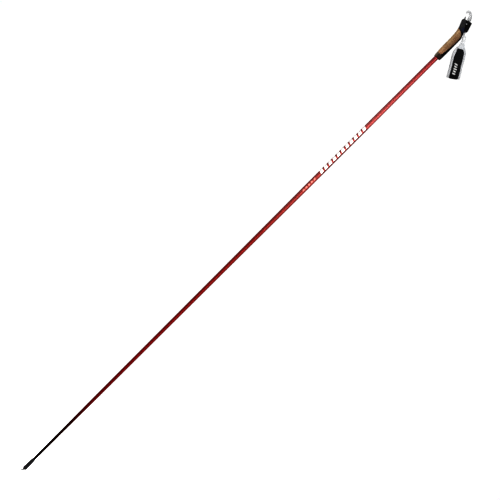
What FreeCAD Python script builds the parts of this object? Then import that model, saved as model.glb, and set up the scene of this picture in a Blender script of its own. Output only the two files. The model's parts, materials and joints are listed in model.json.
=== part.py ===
import FreeCAD, Part
import math
import os

# Nordic (cross-country / roller ski) pole with its hand strap, in millimetres.
# +Z runs up the shaft and the origin lies on the shaft axis, level with the spike's point.
# -X is the front, +X the skier's side where the hand loop hangs, and Y is across.

Vector = FreeCAD.Vector
Y_AXIS = Vector(0, 1, 0)
Z_AXIS = Vector(0, 0, 1)
FIT_CLEARANCE = 0.02             # radial gap between parts that slide together
GLUE_GAP = 0.12                  # radial room for the hot-melt layers
GLUE_FILM = GLUE_GAP - 0.02
CUT_Y = 20.0                     # half width of prisms that reach past the pole


# ---------------------------------------------------------------------------
# frames: the pole, the tilted head and the hanging hand loop
# ---------------------------------------------------------------------------
HEAD_TILT = math.radians(22.0)   # the head leans forward
HEAD_ORIGIN = Vector(-3.5, 0, 1729.0)
HEAD_ACROSS = Vector(math.cos(HEAD_TILT), 0, math.sin(HEAD_TILT))    # to the rear
HEAD_UP = Vector(-math.sin(HEAD_TILT), 0, math.cos(HEAD_TILT))

LOOP_ORIGIN = Vector(9.65, 0, 1727.97)
LOOP_ACROSS = Vector(0.8695, 0, 0.494)      # across the band, to the rear
LOOP_ALONG = Vector(0.494, 0, -0.8695)      # the way the loop hangs


def pole_point(x, z, y=0.0):
    return Vector(x, y, z)


def head_point(across, up, y=0.0):
    return HEAD_ORIGIN + HEAD_ACROSS * across + HEAD_UP * up + Vector(0, y, 0)


def loop_point(across, along, y=0.0):
    return LOOP_ORIGIN + LOOP_ACROSS * across + LOOP_ALONG * along + Vector(0, y, 0)


# ---------------------------------------------------------------------------
# shape helpers
# ---------------------------------------------------------------------------
def polygon(points):
    return Part.makePolygon(list(points) + [points[0]])


def lines(points):
    """Straight edges from each point to the next."""
    return [Part.makeLine(start, end) for start, end in zip(points, points[1:])]


def open_spline(points):
    curve = Part.BSplineCurve()
    curve.interpolate(points)
    return curve.toShape()


def prism(place, outline, y_min, y_max):
    """Prism across Y; place turns the outline's pairs into points of the pole frame."""
    face = Part.Face(polygon([place(first, second, y_min) for first, second in outline]))
    return face.extrude(Vector(0, y_max - y_min, 0))


def spline_prism(curve, corners, half_y):
    """Prism across Y, bounded by a spline through (x, z) points and by straight corners."""
    curve = [pole_point(x, z, -half_y) for x, z in curve]
    corners = [pole_point(x, z, -half_y) for x, z in corners]
    wire = Part.Wire([open_spline(curve)] + lines([curve[-1]] + corners + [curve[0]]))
    return Part.Face(wire).extrude(Vector(0, 2 * half_y, 0))


def z_cylinder(radius, z_min, z_max):
    return Part.makeCylinder(radius, z_max - z_min, Vector(0, 0, z_min), Z_AXIS)


def y_cylinder(centre, radius, half_y):
    return Part.makeCylinder(radius, 2 * half_y, centre - Y_AXIS * half_y, Y_AXIS)


def revolve(outline):
    """Solid of revolution about Z from a closed (radius, z) outline."""
    wire = polygon([Vector(radius, 0, z) for radius, z in outline])
    return Part.Face(wire).revolve(Vector(0, 0, 0), Z_AXIS, 360)


def superellipse(z, front_x, rear_x, half_width, power=2.3, count=24):
    """Closed spline round a rounded section that is level with z."""
    middle = (front_x + rear_x) / 2.0
    half_depth = (rear_x - front_x) / 2.0
    points = []
    for i in range(count):
        angle = 2 * math.pi * i / count
        cosine, sine = math.cos(angle), math.sin(angle)
        x = half_depth * math.copysign(abs(cosine) ** (2.0 / power), cosine)
        y = half_width * math.copysign(abs(sine) ** (2.0 / power), sine)
        points.append(Vector(middle + x, y, z))
    curve = Part.BSplineCurve()
    curve.interpolate(Points=points, PeriodicFlag=True)
    return Part.Wire([curve.toShape()])


def loft_sections(sections):
    return Part.makeLoft([superellipse(*section) for section in sections], True, False)


def fillet_if_possible(shape, radius, edges):
    # The kernel can refuse a fillet; the shape then keeps its sharp edges.
    try:
        return shape.makeFillet(radius, edges)
    except Exception:
        return shape


def one_solid(shape):
    """Largest solid of a boolean result, with split faces merged where that stays sound."""
    largest = max(shape.Solids, key=lambda solid: solid.Volume)
    # Merging faces can fail or spoil the solid, which is then used as it is.
    try:
        merged = largest.copy().removeSplitter().Solids
        if len(merged) == 1 and merged[0].isValid() and (
                not largest.isValid()
                or abs(merged[0].Volume - largest.Volume) < 1e-3 * largest.Volume):
            return merged[0]
    except Exception:
        pass
    return largest


# ---------------------------------------------------------------------------
# shaft
# ---------------------------------------------------------------------------
SHAFT_WALL = 1.15
SHAFT_FOOT_Z = 22.0              # inside the ferrule
SHAFT_TOP_Z = 1714.0             # inside the grip
SHAFT_PROFILE = [                # (z, outer radius)
    (SHAFT_FOOT_Z, 3.50), (53.0, 3.57), (64.0, 3.88), (128.0, 4.12), (318.0, 4.52),
    (568.0, 5.02), (818.0, 5.62), (1018.0, 6.35), (1100.0, 6.60), (1400.0, 6.60),
    (1500.0, 6.25), (SHAFT_TOP_Z, 6.20)]
SHAFT_TOP_R = SHAFT_PROFILE[-1][1]
PLUG_LENGTH = 12.0
PLUG_CLEARANCE = 0.05


def shaft_tube():
    outer = [(radius, z) for z, radius in SHAFT_PROFILE]
    inner = [(radius - SHAFT_WALL, z) for z, radius in reversed(SHAFT_PROFILE)]
    return revolve(outer + inner)


def shaft_plug(shaft_radius, z_min):
    """Disc that closes one end of the tube."""
    return z_cylinder(shaft_radius - SHAFT_WALL - PLUG_CLEARANCE, z_min, z_min + PLUG_LENGTH)


# ---------------------------------------------------------------------------
# ferrule and spike
# ---------------------------------------------------------------------------
FERRULE_PROFILE = [              # (radius, z) of the outside
    (3.40, 7.6), (4.65, 8.3), (5.45, 10.4), (5.72, 12.6), (5.74, 15.2),
    (5.48, 18.0), (5.38, 23.0), (5.24, 30.0), (5.08, 37.0), (4.80, 41.5),
    (4.34, 44.8), (3.92, 46.0)]
FERRULE_BORE_R = 3.56 + GLUE_GAP
FERRULE_FLOOR_Z = SHAFT_FOOT_Z - 0.1
FERRULE_CUT_Z = 1.0              # nothing of the ferrule lies below this
TOE_R = 5.80                     # rounded toe, swelling the ferrule's foot forward
TOE_CENTRE = Vector(-0.75, 0, 13.4)

FERRULE_GLUE = [                 # (radius, z) outline of the hot-melt layer
    (3.51, 22.2), (3.51 + GLUE_FILM, 22.2), (3.555 + GLUE_FILM, 45.6), (3.555, 45.6)]

SPIKE_R = 1.35
SPIKE_ROOT = Vector(2.1, 0, 11.2)           # buried end
SPIKE_TIP = Vector(-4.75, 0, 0.43)          # centre of the working end
SPIKE_LENGTH = (SPIKE_TIP - SPIKE_ROOT).Length
SPIKE_DIR = (SPIKE_TIP - SPIKE_ROOT).normalize()
POINT_LENGTH = 0.9
POINT_END_R = 0.75
BOSS_START = 1.2                 # distance from the spike's root
BOSS_LENGTH = 6.6
BOSS_ROOT_R, BOSS_END_R = 2.9, 2.15


def tip_ferrule():
    """Socket for the shaft, with a rounded toe and a conical boss round the spike."""
    profile = [Vector(radius, 0, z) for radius, z in FERRULE_PROFILE]
    foot_centre = Vector(0, 0, profile[0].z)
    wire = Part.Wire(
        lines([foot_centre, profile[0]])
        + [open_spline(profile)]
        + lines([profile[-1],
                 Vector(FERRULE_BORE_R, 0, profile[-1].z),
                 Vector(FERRULE_BORE_R, 0, FERRULE_FLOOR_Z),
                 Vector(0, 0, FERRULE_FLOOR_Z),
                 foot_centre]))
    body = Part.Face(wire).revolve(Vector(0, 0, 0), Z_AXIS, 360)
    toe = Part.makeSphere(TOE_R, TOE_CENTRE)
    boss = Part.makeCone(BOSS_ROOT_R, BOSS_END_R, BOSS_LENGTH,
                         SPIKE_ROOT + SPIKE_DIR * BOSS_START, SPIKE_DIR)
    spike_hole = Part.makeCylinder(SPIKE_R + FIT_CLEARANCE, SPIKE_LENGTH + 6,
                                   SPIKE_ROOT - SPIKE_DIR * FIT_CLEARANCE, SPIKE_DIR)
    limits = Part.makeBox(30, 30, 60, Vector(-15, -15, FERRULE_CUT_Z))
    return one_solid(body.fuse(toe).fuse(boss).cut(spike_hole).common(limits))


def tip_spike():
    """Straight pin with a short conical point."""
    shank_length = SPIKE_LENGTH - POINT_LENGTH
    shank = Part.makeCylinder(SPIKE_R, shank_length, SPIKE_ROOT, SPIKE_DIR)
    point = Part.makeCone(SPIKE_R, POINT_END_R, POINT_LENGTH,
                          SPIKE_ROOT + SPIKE_DIR * shank_length, SPIKE_DIR)
    return one_solid(shank.fuse(point))


# ---------------------------------------------------------------------------
# grip: cork, moulded core (tube, rear spine, neck, front of the head), end collar
# ---------------------------------------------------------------------------
CORK_FOOT_Z = 1637.9
GRIP_SECTIONS = [                # (z, front x, rear x, half width)
    (CORK_FOOT_Z, -9.6, 12.0, 10.5), (1648.0, -10.5, 12.1, 11.0),
    (1663.0, -10.9, 12.1, 11.5), (1680.0, -11.0, 12.0, 11.8),
    (1695.0, -11.4, 12.0, 11.9), (1708.0, -12.1, 11.8, 11.8),
    (1718.0, -13.3, 10.6, 11.7), (1725.0, -15.0, 9.0, 11.6),
    (1734.0, -17.0, 7.2, 11.4)]
COLLAR_SECTIONS = [              # (z, front x, rear x, half width)
    (1625.6, -8.3, 10.8, 9.5), (1630.0, -9.1, 11.7, 10.2),
    (1637.8, -9.6, 12.0, 10.5)]
COLLAR_FILLET = 1.2
SADDLE = [                       # (x, z) hollow at the back of the neck, under the head
    (13.5, 1711.0), (11.6, 1715.4), (9.6, 1719.0), (6.9, 1722.8), (5.0, 1726.4),
    (4.3, 1730.5), (4.2, 1736.0)]
CHANNEL = [                      # (x, z) narrower, deeper groove in the saddle for the strap
    (13.4, 1707.6), (11.9, 1710.0), (10.2, 1713.2), (8.6, 1716.2), (6.8, 1719.4),
    (5.0, 1722.4), (3.8, 1725.4), (3.5, 1727.4)]
CHANNEL_HALF_Y = 7.9
GRIP_CUT_HALF_Y = 25.0
REAR_CUT_X = 30.0                # behind everything on the grip
CORK_EDGE = [                    # (x, z) line where the cork meets the core's rear spine
    (4.0, 1642.0), (5.2, 1650.0), (6.6, 1660.0), (8.3, 1678.0), (9.1, 1691.0),
    (9.0, 1700.0), (8.2, 1707.0), (6.6, 1712.6), (4.0, 1716.8), (0.2, 1720.0),
    (-6.0, 1723.2), (-22.0, 1728.2)]
CORK_FOOT_CORNERS = [            # (x, z)
    (CORK_EDGE[-1][0], CORK_FOOT_Z), (CORK_EDGE[0][0] - 1.8, CORK_FOOT_Z)]

TUBE_R = 8.2                     # moulded tube the cork is slid over
TUBE_FOOT_Z, TUBE_TOP_Z = 1625.0, 1725.0
TUBE_BORE_R = SHAFT_TOP_R + GLUE_GAP
BORE_CUT_Z = 1600.0              # bores start below the grip
GRIP_GLUE_R = 6.23               # inside of the hot-melt layer
GRIP_GLUE_FOOT_Z = 1626.5
SHAFT_END_GAP = 0.2

# Head: its outline seen from the side, and the column that rounds it off in plan
HEAD_OUTLINE = [                 # (x, z, fillet radius)
    (-13.4, 1724.6, 0), (-14.9, 1728.0, 0), (-24.3, 1749.3, 2.2),
    (-22.2, 1754.0, 2.0), (2.6, 1761.0, 1.6), (10.6, 1735.0, 3.0),
    (4.6, 1728.2, 1.2), (2.4, 1724.6, 0)]
HEAD_HALF_W = 12.2
HEAD_CORNER_R = 9.0
HEAD_FRONT, HEAD_REAR = -11.9, 17.4          # column, across the head
HEAD_LOW, HEAD_HIGH = -24.0, 36.0            # column, up the head

# All below in head coordinates (across, up)
SPLIT_TOP = (-0.5, 26.4)         # the line between core and housing runs through
SPLIT_FOOT = (5.3, -1.9)         # these two points
HEAD_CLEAR_UP = 40.0             # above the head
FIT_GAP = 0.03                   # between core and housing


def split_across(up, offset=0.0):
    """Place of the line between core and housing at a height up the head."""
    slope = (SPLIT_FOOT[0] - SPLIT_TOP[0]) / (SPLIT_FOOT[1] - SPLIT_TOP[1])
    return SPLIT_TOP[0] + (up - SPLIT_TOP[1]) * slope + offset


HOUSING_SIDE = [                 # everything behind the line between core and housing
    (split_across(HEAD_CLEAR_UP), HEAD_CLEAR_UP), SPLIT_FOOT,
    (7.1, -3.95), (10.5, -9.5), (30, -9.5), (30, HEAD_CLEAR_UP)]
FLANGE_POCKET = [(-6.55, 26.8), (9.0, 26.8), (9.0, 44.0), (-9.2, 44.0)]
POCKET_CLEARANCE = 0.25
WEDGE_HALF_Y = 6.9


def grip_body():
    """Outside of the grip below the head, with the saddle cut out."""
    saddle_corners = [(REAR_CUT_X, SADDLE[-1][1]), (REAR_CUT_X, SADDLE[0][1])]
    return loft_sections(GRIP_SECTIONS).cut(
        spline_prism(SADDLE, saddle_corners, GRIP_CUT_HALF_Y))


def cork_shell(body, cork_side):
    tube_hole = z_cylinder(TUBE_R + FIT_CLEARANCE, BORE_CUT_Z, BORE_CUT_Z + 200)
    return one_solid(body.common(cork_side).cut(tube_hole))


def head_column():
    """Rounded-rectangle column along the head's axis."""
    front, rear = HEAD_FRONT, HEAD_REAR
    half, radius = HEAD_HALF_W, HEAD_CORNER_R
    inset = radius * (1 - math.sqrt(0.5))
    ends = [(front + radius, -half), (rear - radius, -half),
            (rear, -half + radius), (rear, half - radius),
            (rear - radius, half), (front + radius, half),
            (front, half - radius), (front, -half + radius)]
    arc_middles = [(rear - inset, -half + inset), (rear - inset, half - inset),
                   (front + inset, half - inset), (front + inset, -half + inset)]
    ends = [head_point(across, HEAD_LOW, y) for across, y in ends]
    edges = []
    for i, (across, y) in enumerate(arc_middles):
        arc_start, arc_end = ends[2 * i + 1], ends[(2 * i + 2) % 8]
        edges.append(Part.makeLine(ends[2 * i], arc_start))
        edges.append(Part.Arc(arc_start, head_point(across, HEAD_LOW, y), arc_end).toShape())
    return Part.Face(Part.Wire(edges)).extrude(HEAD_UP * (HEAD_HIGH - HEAD_LOW))


def whole_head():
    """Head before it is divided into core and housing."""
    head = prism(pole_point, [(x, z) for x, z, radius in HEAD_OUTLINE], -CUT_Y, CUT_Y)
    for x, z, radius in HEAD_OUTLINE:
        if radius <= 0:
            continue
        corner_edges = [
            edge for edge in head.Edges
            if len(edge.Vertexes) == 2
            and all(abs(end.X - x) < 1e-4 and abs(end.Z - z) < 1e-4 for end in edge.Vertexes)]
        head = fillet_if_possible(head, radius, corner_edges[:1])
    return one_solid(head.common(head_column()))


def grip_core(body, cork_side, head):
    housing_side = prism(head_point, HOUSING_SIDE, -CUT_Y, CUT_Y)
    core = body.cut(cork_side)
    core = core.common(Part.makeBox(60, 60, 200, Vector(-30, -30, CORK_FOOT_Z)))
    core = core.cut(housing_side)
    core = core.fuse(head.cut(housing_side).cut(cork_side))
    core = core.fuse(z_cylinder(TUBE_R, TUBE_FOOT_Z, TUBE_TOP_Z))
    core = core.cut(z_cylinder(TUBE_BORE_R, BORE_CUT_Z, SHAFT_TOP_Z + SHAFT_END_GAP))
    # pocket for the wedge's flange
    pocket_half_y = WEDGE_HALF_Y + POCKET_CLEARANCE
    core = core.cut(prism(head_point, FLANGE_POCKET, -pocket_half_y, pocket_half_y))
    # channel that the strap hangs through
    channel_corners = [(REAR_CUT_X, CHANNEL[-1][1]), (REAR_CUT_X, CHANNEL[0][1])]
    return one_solid(core.cut(spline_prism(CHANNEL, channel_corners, CHANNEL_HALF_Y)))


def end_collar():
    """Collar under the cork, rounded round its lower edge."""
    collar = loft_sections(COLLAR_SECTIONS)
    low_edges = [edge for edge in collar.Edges if edge.BoundBox.ZMax < 1626.0]
    collar = fillet_if_possible(collar, COLLAR_FILLET, low_edges)
    return one_solid(collar.cut(
        z_cylinder(TUBE_R + FIT_CLEARANCE, BORE_CUT_Z, BORE_CUT_Z + 60)))


def grip_adhesive():
    outer = TUBE_BORE_R - 0.02
    top_z = SHAFT_TOP_Z - SHAFT_END_GAP
    return revolve([(GRIP_GLUE_R, GRIP_GLUE_FOOT_Z), (outer, GRIP_GLUE_FOOT_Z),
                    (outer, top_z), (GRIP_GLUE_R, top_z)])


# ---------------------------------------------------------------------------
# strap housing (rear half of the head), cross pin and wedge, in head coordinates
# ---------------------------------------------------------------------------
SLOT_FRONT, SLOT_REAR = 8.15, 12.05
SLOT_HALF_Y = 7.3
SLOT_STEP_UP = 3.4               # above this the slot widens forward to take the wedge

PIN_ACROSS, PIN_UP = 4.3, 19.5
PIN_CENTRE = head_point(PIN_ACROSS, PIN_UP)
PIN_R = 1.25
PIN_HALF_Y = 10.7
PIN_HEAD_R = 2.2
PIN_HEAD_Y = 10.65               # underside of the pin's heads
PIN_HEAD_T = 1.15
PIN_HEAD_FILLET = 0.35
PIN_RECESS_Y = 10.6              # floor of the recesses for the heads

WEDGE_REAR = SLOT_FRONT - 0.1
WEDGE_FRONT_CLEARANCE = 0.15
WEDGE_TRAVEL = 5.0
WEDGE_OUTLINE = [                # (across, up) tapered block with a front flange
    (split_across(4.0, WEDGE_FRONT_CLEARANCE), 4.0), (WEDGE_REAR, 4.0), (WEDGE_REAR, 22.0),
    (2.0, 22.6), (2.0, 28.8), (-6.0, 28.8), (-6.3, 28.2), (-6.3, 27.0),
    (split_across(27.0, WEDGE_FRONT_CLEARANCE), 27.0)]
TAB_OUTLINE = [                  # (across, up) finger tab
    (-6.3, 28.0), (-2.6, 28.0), (-3.4, 30.6), (-4.4, 34.0), (-5.2, 37.3),
    (-6.0, 38.0), (-6.7, 37.4), (-6.9, 34.0)]
TAB_HALF_Y = 5.2
TAB_FILLET = 0.35


def slot_flare(start_up, end_up, spread):
    """Cut that widens the slot to the rear at one of its mouths."""
    base = SLOT_REAR - 0.1
    outline = [(base, start_up), (SLOT_REAR + spread, end_up), (base, end_up)]
    return prism(head_point, outline, -SLOT_HALF_Y, SLOT_HALF_Y)


def strap_housing(head):
    """Rear half of the head, with the slot for the webbing and holes for the cross pin."""
    side = prism(head_point, [(across + FIT_GAP, up) for across, up in HOUSING_SIDE],
                 -CUT_Y, CUT_Y)
    slot = prism(head_point, [
        (SLOT_REAR, -14), (SLOT_FRONT, -14), (SLOT_FRONT, SLOT_STEP_UP),
        (split_across(SLOT_STEP_UP, -1.0), SLOT_STEP_UP),
        (split_across(HEAD_CLEAR_UP, -1.0), HEAD_CLEAR_UP),
        (SLOT_REAR, HEAD_CLEAR_UP)], -SLOT_HALF_Y, SLOT_HALF_Y)
    housing = head.common(side).cut(slot)
    housing = housing.cut(slot_flare(start_up=24.6, end_up=30, spread=1.5))
    housing = housing.cut(slot_flare(start_up=0.6, end_up=-6, spread=2.2))
    housing = housing.cut(y_cylinder(PIN_CENTRE, PIN_R + 0.01, CUT_Y))
    for side_sign in (-1, 1):
        housing = housing.cut(Part.makeCylinder(
            PIN_HEAD_R + 0.05, 5, PIN_CENTRE + Y_AXIS * (side_sign * PIN_RECESS_Y),
            Vector(0, side_sign, 0)))
    return one_solid(housing)


def wedge_pin():
    """Cross pin: shank with a low, rounded head at each end."""
    pin = y_cylinder(PIN_CENTRE, PIN_R, PIN_HALF_Y)
    for side_sign in (-1, 1):
        pin_head = Part.makeCylinder(
            PIN_HEAD_R, PIN_HEAD_T, PIN_CENTRE + Y_AXIS * (side_sign * PIN_HEAD_Y),
            Vector(0, side_sign, 0))
        rim = [edge for edge in pin_head.Edges
               if abs(abs(edge.CenterOfMass.y) - (PIN_HEAD_Y + PIN_HEAD_T)) < 0.01
               and len(edge.Vertexes) == 1]
        pin = pin.fuse(fillet_if_possible(pin_head, PIN_HEAD_FILLET, rim[:1]))
    return one_solid(pin)


def strap_wedge():
    """Wedge with a finger tab and a slotted hole that lets it slide on the cross pin."""
    wedge = prism(head_point, WEDGE_OUTLINE, -WEDGE_HALF_Y, WEDGE_HALF_Y)
    tab = prism(head_point, TAB_OUTLINE, -TAB_HALF_Y, TAB_HALF_Y)
    upper_z = head_point(-6, 34).z - 2
    upper_edges = [edge for edge in tab.Edges
                   if abs(abs(edge.Vertexes[0].Y) - TAB_HALF_Y) < 1e-6
                   and abs(abs(edge.Vertexes[-1].Y) - TAB_HALF_Y) < 1e-6
                   and edge.BoundBox.ZMax > upper_z]
    wedge = wedge.fuse(fillet_if_possible(tab, TAB_FILLET, upper_edges))

    radius = PIN_R + 0.1
    low, high = PIN_UP - WEDGE_TRAVEL, PIN_UP
    front, rear = PIN_ACROSS - radius, PIN_ACROSS + radius
    hole = prism(head_point, [(front, low), (rear, low), (rear, high), (front, high)], -10, 10)
    for up in (low, high):
        hole = hole.fuse(y_cylinder(head_point(PIN_ACROSS, up), radius, 10))
    return one_solid(wedge.cut(hole))


# ---------------------------------------------------------------------------
# webbing: one long tape, folded double through the slot.  It is divided where
# it flexes: the clamped part in the slot, the twisted link and the loose tail.
# In each part sign is -1 for the front tape and 1 for the rear one.
# ---------------------------------------------------------------------------
WEB_T = 1.6
WEB_W = 14.0
WEB_HALF_GAP = 0.06              # half the gap between the two tapes
WEB_ACROSS = 10.15               # middle of the two tapes, across the head
WEB_CAP_R = WEB_T + WEB_HALF_GAP
SWING_UP = -6.2                  # height on the head axis where the strap swings
TAIL_UP = 28.5                   # height where the loose tail bends
SWING_PIVOT = head_point(WEB_ACROSS, SWING_UP)
TAIL_PIVOT = head_point(WEB_ACROSS, TAIL_UP)
PIVOT_CLEARANCE = 0.35
SWING_CLEARANCE = 1.0

LOOP_START = 26.0                # along the loop, where the link meets the band
LINK_END = loop_point(0.0, LOOP_START - WEB_CAP_R - PIVOT_CLEARANCE)
LINK = [                         # (x, z, twist in degrees, width) along the centre line
    (SWING_PIVOT.x, SWING_PIVOT.z, 0, WEB_W), (9.75, 1724.2, 4, 13.8),
    (12.2, 1721.2, 27, 12.4), (15.3, 1717.6, 58, 10.2), (17.9, 1713.6, 78, 9.7),
    (20.2, 1709.5, 88, 10.0), (LINK_END.x, LINK_END.z, 90, 10.6)]
# The tapes part just above the head, join again and curl forward.
TAIL = [                         # (x, z, forward offset of the front tape)
    (TAIL_PIVOT.x, TAIL_PIVOT.z, 0.0), (-6.3, 1763.0, 3.6), (-8.1, 1767.4, 4.4),
    (-10.9, 1771.9, 2.0), (-16.6, 1777.2, 0.0), (-23.2, 1780.0, 0.0),
    (-27.9, 1777.7, 0.0), (-29.1, 1773.7, 0.0), (-27.7, 1771.0, 0.0)]


def webbing_clamped(sign):
    inner = WEB_ACROSS + sign * WEB_HALF_GAP
    outer = WEB_ACROSS + sign * (WEB_HALF_GAP + WEB_T)
    low = SWING_UP + WEB_CAP_R + SWING_CLEARANCE
    high = TAIL_UP - WEB_CAP_R - PIVOT_CLEARANCE
    return prism(head_point, [(inner, low), (outer, low), (outer, high), (inner, high)],
                 -WEB_W / 2, WEB_W / 2)


def tape_cap(pivot, outward, sign):
    """Quarter round on the pivot axis at the end of one tape."""
    reach = 6.0
    half_y = WEB_W / 2 + 1
    base = pivot - Y_AXIS * half_y
    inner = HEAD_ACROSS * (sign * WEB_HALF_GAP)
    outer = HEAD_ACROSS * (sign * reach)
    quarter = Part.Face(polygon([base + inner, base + outer, base + outer + outward * reach,
                                 base + inner + outward * reach]))
    return y_cylinder(pivot, WEB_CAP_R, WEB_W / 2).common(
        quarter.extrude(Vector(0, 2 * half_y, 0)))


def tangents(path, first):
    """Unit directions along a path whose rows begin with x and z; the first one is given."""
    directions = []
    for i in range(len(path)):
        before, after = path[max(i - 1, 0)], path[min(i + 1, len(path) - 1)]
        directions.append(
            Vector(after[0] - before[0], 0, after[1] - before[1]).normalize())
    directions[0] = first
    return directions


def webbing_link(sign):
    """One tape from the head to the band, turning a quarter turn on the way."""
    directions = tangents(LINK, HEAD_UP * -1)
    directions[-1] = LOOP_ALONG
    sections = []
    for (x, z, twist, width), along in zip(LINK, directions):
        rearward = Vector(-along.z, 0, along.x)
        angle = math.radians(twist)
        half_width = (Y_AXIS * math.cos(angle) + rearward * math.sin(angle)) * (width / 2)
        thickness = rearward * math.cos(angle) - Y_AXIS * math.sin(angle)
        centre = Vector(x, 0, z)
        inner = thickness * (sign * WEB_HALF_GAP)
        outer = thickness * (sign * (WEB_HALF_GAP + WEB_T))
        sections.append(polygon([
            centre + half_width + inner, centre + half_width + outer,
            centre - half_width + outer, centre - half_width + inner]))
    body = Part.makeLoft(sections, True, False)
    return one_solid(body.fuse(tape_cap(SWING_PIVOT, HEAD_UP, sign)))


def webbing_tail(sign):
    inner, outer = [], []
    for (x, z, front_offset), along in zip(TAIL, tangents(TAIL, HEAD_UP)):
        outward = Vector(along.z, 0, -along.x)      # to the outside of the curl
        offset = front_offset if sign < 0 else 0.0
        middle = Vector(x, -WEB_W / 2, z) - outward * offset
        inner.append(middle + outward * (sign * WEB_HALF_GAP))
        outer.append(middle + outward * (sign * (WEB_HALF_GAP + WEB_T)))
    wire = Part.Wire([
        open_spline(inner), Part.makeLine(inner[-1], outer[-1]),
        open_spline(outer), Part.makeLine(outer[0], inner[0])])
    body = Part.Face(wire).extrude(Vector(0, WEB_W, 0))
    return one_solid(body.fuse(tape_cap(TAIL_PIVOT, HEAD_UP * -1, sign)))


# ---------------------------------------------------------------------------
# hand loop: a broad band folded back on itself, lined inside, bound along its
# edges, with a pad round the outside and a woven patch on the pad.
# Outlines are (across, along) in loop coordinates.
# ---------------------------------------------------------------------------
BAND_T = 1.8
BAND_END_R = 1.86
LINING_T = 1.4
PAD_T = 2.2
PATCH_T = 0.6
LINING_OFFSET = -BAND_T - 0.1    # outside of the lining, from the band's outside
PAD_OFFSET = 0.04                # inside of the pad
PATCH_OFFSET = PAD_T + 0.08      # inside of the patch
BINDING_OFFSET = 0.25            # the bindings stand out by this much
BAND_INSIDE_START = 36.0         # along the loop, where its opening starts
LOOP_FAR = 140                   # beyond the loop's far end
LOOP_CUT = 30                    # half width of cuts right across the band

LOOP = [                         # (along, y) of half of the band's outside
    (LOOP_START, BAND_END_R), (32.0, 2.4), (40.0, 4.0), (52.0, 7.0), (66.0, 9.3),
    (82.0, 10.6), (98.0, 10.8), (110.0, 9.7), (118.5, 7.4), (123.6, 4.2), (125.4, 0.0)]
BAND_OUTLINE = [
    (-4.6, LOOP_START - 0.5), (-5.6, 30.0), (-9.2, 37.5), (-14.6, 47.0), (-17.6, 55.0),
    (-18.4, 63.0), (-18.4, LOOP_FAR), (18.4, LOOP_FAR), (18.4, 64.0), (17.2, 54.0),
    (13.6, 47.0), (9.6, 42.0), (6.2, 33.0), (5.2, LOOP_START - 0.5)]
LINING_HALF_W = 16.5
LINING_OUTLINE = [
    (-8.2, 39.0), (-13.6, 48.0), (-LINING_HALF_W, 58.0), (-LINING_HALF_W, LOOP_FAR),
    (LINING_HALF_W, LOOP_FAR), (LINING_HALF_W, 58.0), (12.6, 48.0), (8.0, 39.0)]
BINDING_OUTLINE = [(-30, 60.0), (30, 60.0), (30, LOOP_FAR), (-30, LOOP_FAR)]
BINDING_INNER, BINDING_OUTER = 18.45, 19.6   # across the band
PAD_OUTLINE = [
    (-9.4, 45.0), (-4.5, 45.2), (0.0, 44.4), (5.4, 45.4), (9.4, 49.2), (11.5, 55.5),
    (11.8, 70.0), (11.5, LOOP_FAR), (-12.8, LOOP_FAR), (-13.1, 84.0), (-13.1, 67.0),
    (-11.2, 55.0)]
PATCH_OUTLINE = [(-12.0, 84.0), (10.6, 86.0), (10.6, 116.0), (-12.0, 118.0)]


def offset_loop(offset):
    """Points of LOOP moved outward."""
    points = []
    for i, (along, y) in enumerate(LOOP):
        before, after = LOOP[max(i - 1, 0)], LOOP[min(i + 1, len(LOOP) - 1)]
        step_along, step_y = after[0] - before[0], after[1] - before[1]
        if i == len(LOOP) - 1:
            step_along, step_y = 0.0, -1.0
        length = math.hypot(step_along, step_y)
        points.append((along - step_y / length * offset, y + step_along / length * offset))
    return points


def loop_solid(offset, across_min, across_max, start=None):
    """Filled loop, offset outward; with a start it closes to a point there."""
    half = offset_loop(offset)
    if start is not None:
        kept = [(along, y) for along, y in half if along > start + 1.5 and y > 0.25]
        half = [(start, 0.0)] + kept + [half[-1]]
    points = [loop_point(0, along, y) for along, y in half]
    points += [loop_point(0, along, -y) for along, y in reversed(half[:-1])]
    edges = [open_spline(points)]
    if start is None:
        edges.append(Part.makeLine(points[-1], points[0]))
    face = Part.Face(Part.Wire(edges))
    face.translate(LOOP_ACROSS * across_min)
    return face.extrude(LOOP_ACROSS * (across_max - across_min))


def loop_trim(outline, y_max=CUT_Y):
    return prism(loop_point, outline, -CUT_Y, y_max)


def band_inside():
    return loop_solid(-BAND_T, -LOOP_CUT, LOOP_CUT, start=BAND_INSIDE_START)


def band_outer():
    """Band with a rounded end where it meets the twisted link."""
    band = loop_solid(0.0, -22, 22).cut(band_inside()).common(loop_trim(BAND_OUTLINE))
    end = Part.makeCylinder(BAND_END_R, 9.8, loop_point(-4.6, LOOP_START), LOOP_ACROSS)
    return one_solid(band.fuse(end))


def band_lining():
    outside = loop_solid(LINING_OFFSET, -LINING_HALF_W, LINING_HALF_W,
                         start=BAND_INSIDE_START + 0.1)
    inside = loop_solid(LINING_OFFSET - LINING_T, -LOOP_CUT, LOOP_CUT, start=44.0)
    return one_solid(outside.cut(inside).common(loop_trim(LINING_OUTLINE)))


def edge_binding(across_min, across_max):
    shell = loop_solid(BINDING_OFFSET, across_min, across_max).cut(band_inside())
    return one_solid(shell.common(loop_trim(BINDING_OUTLINE)))


def loop_cover(offset, thickness, trim):
    """Layer round the outside of the band, cut to a trim prism."""
    outside = loop_solid(offset + thickness, -14, 14)
    return one_solid(outside.cut(loop_solid(offset, -LOOP_CUT, LOOP_CUT)).common(trim))


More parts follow.
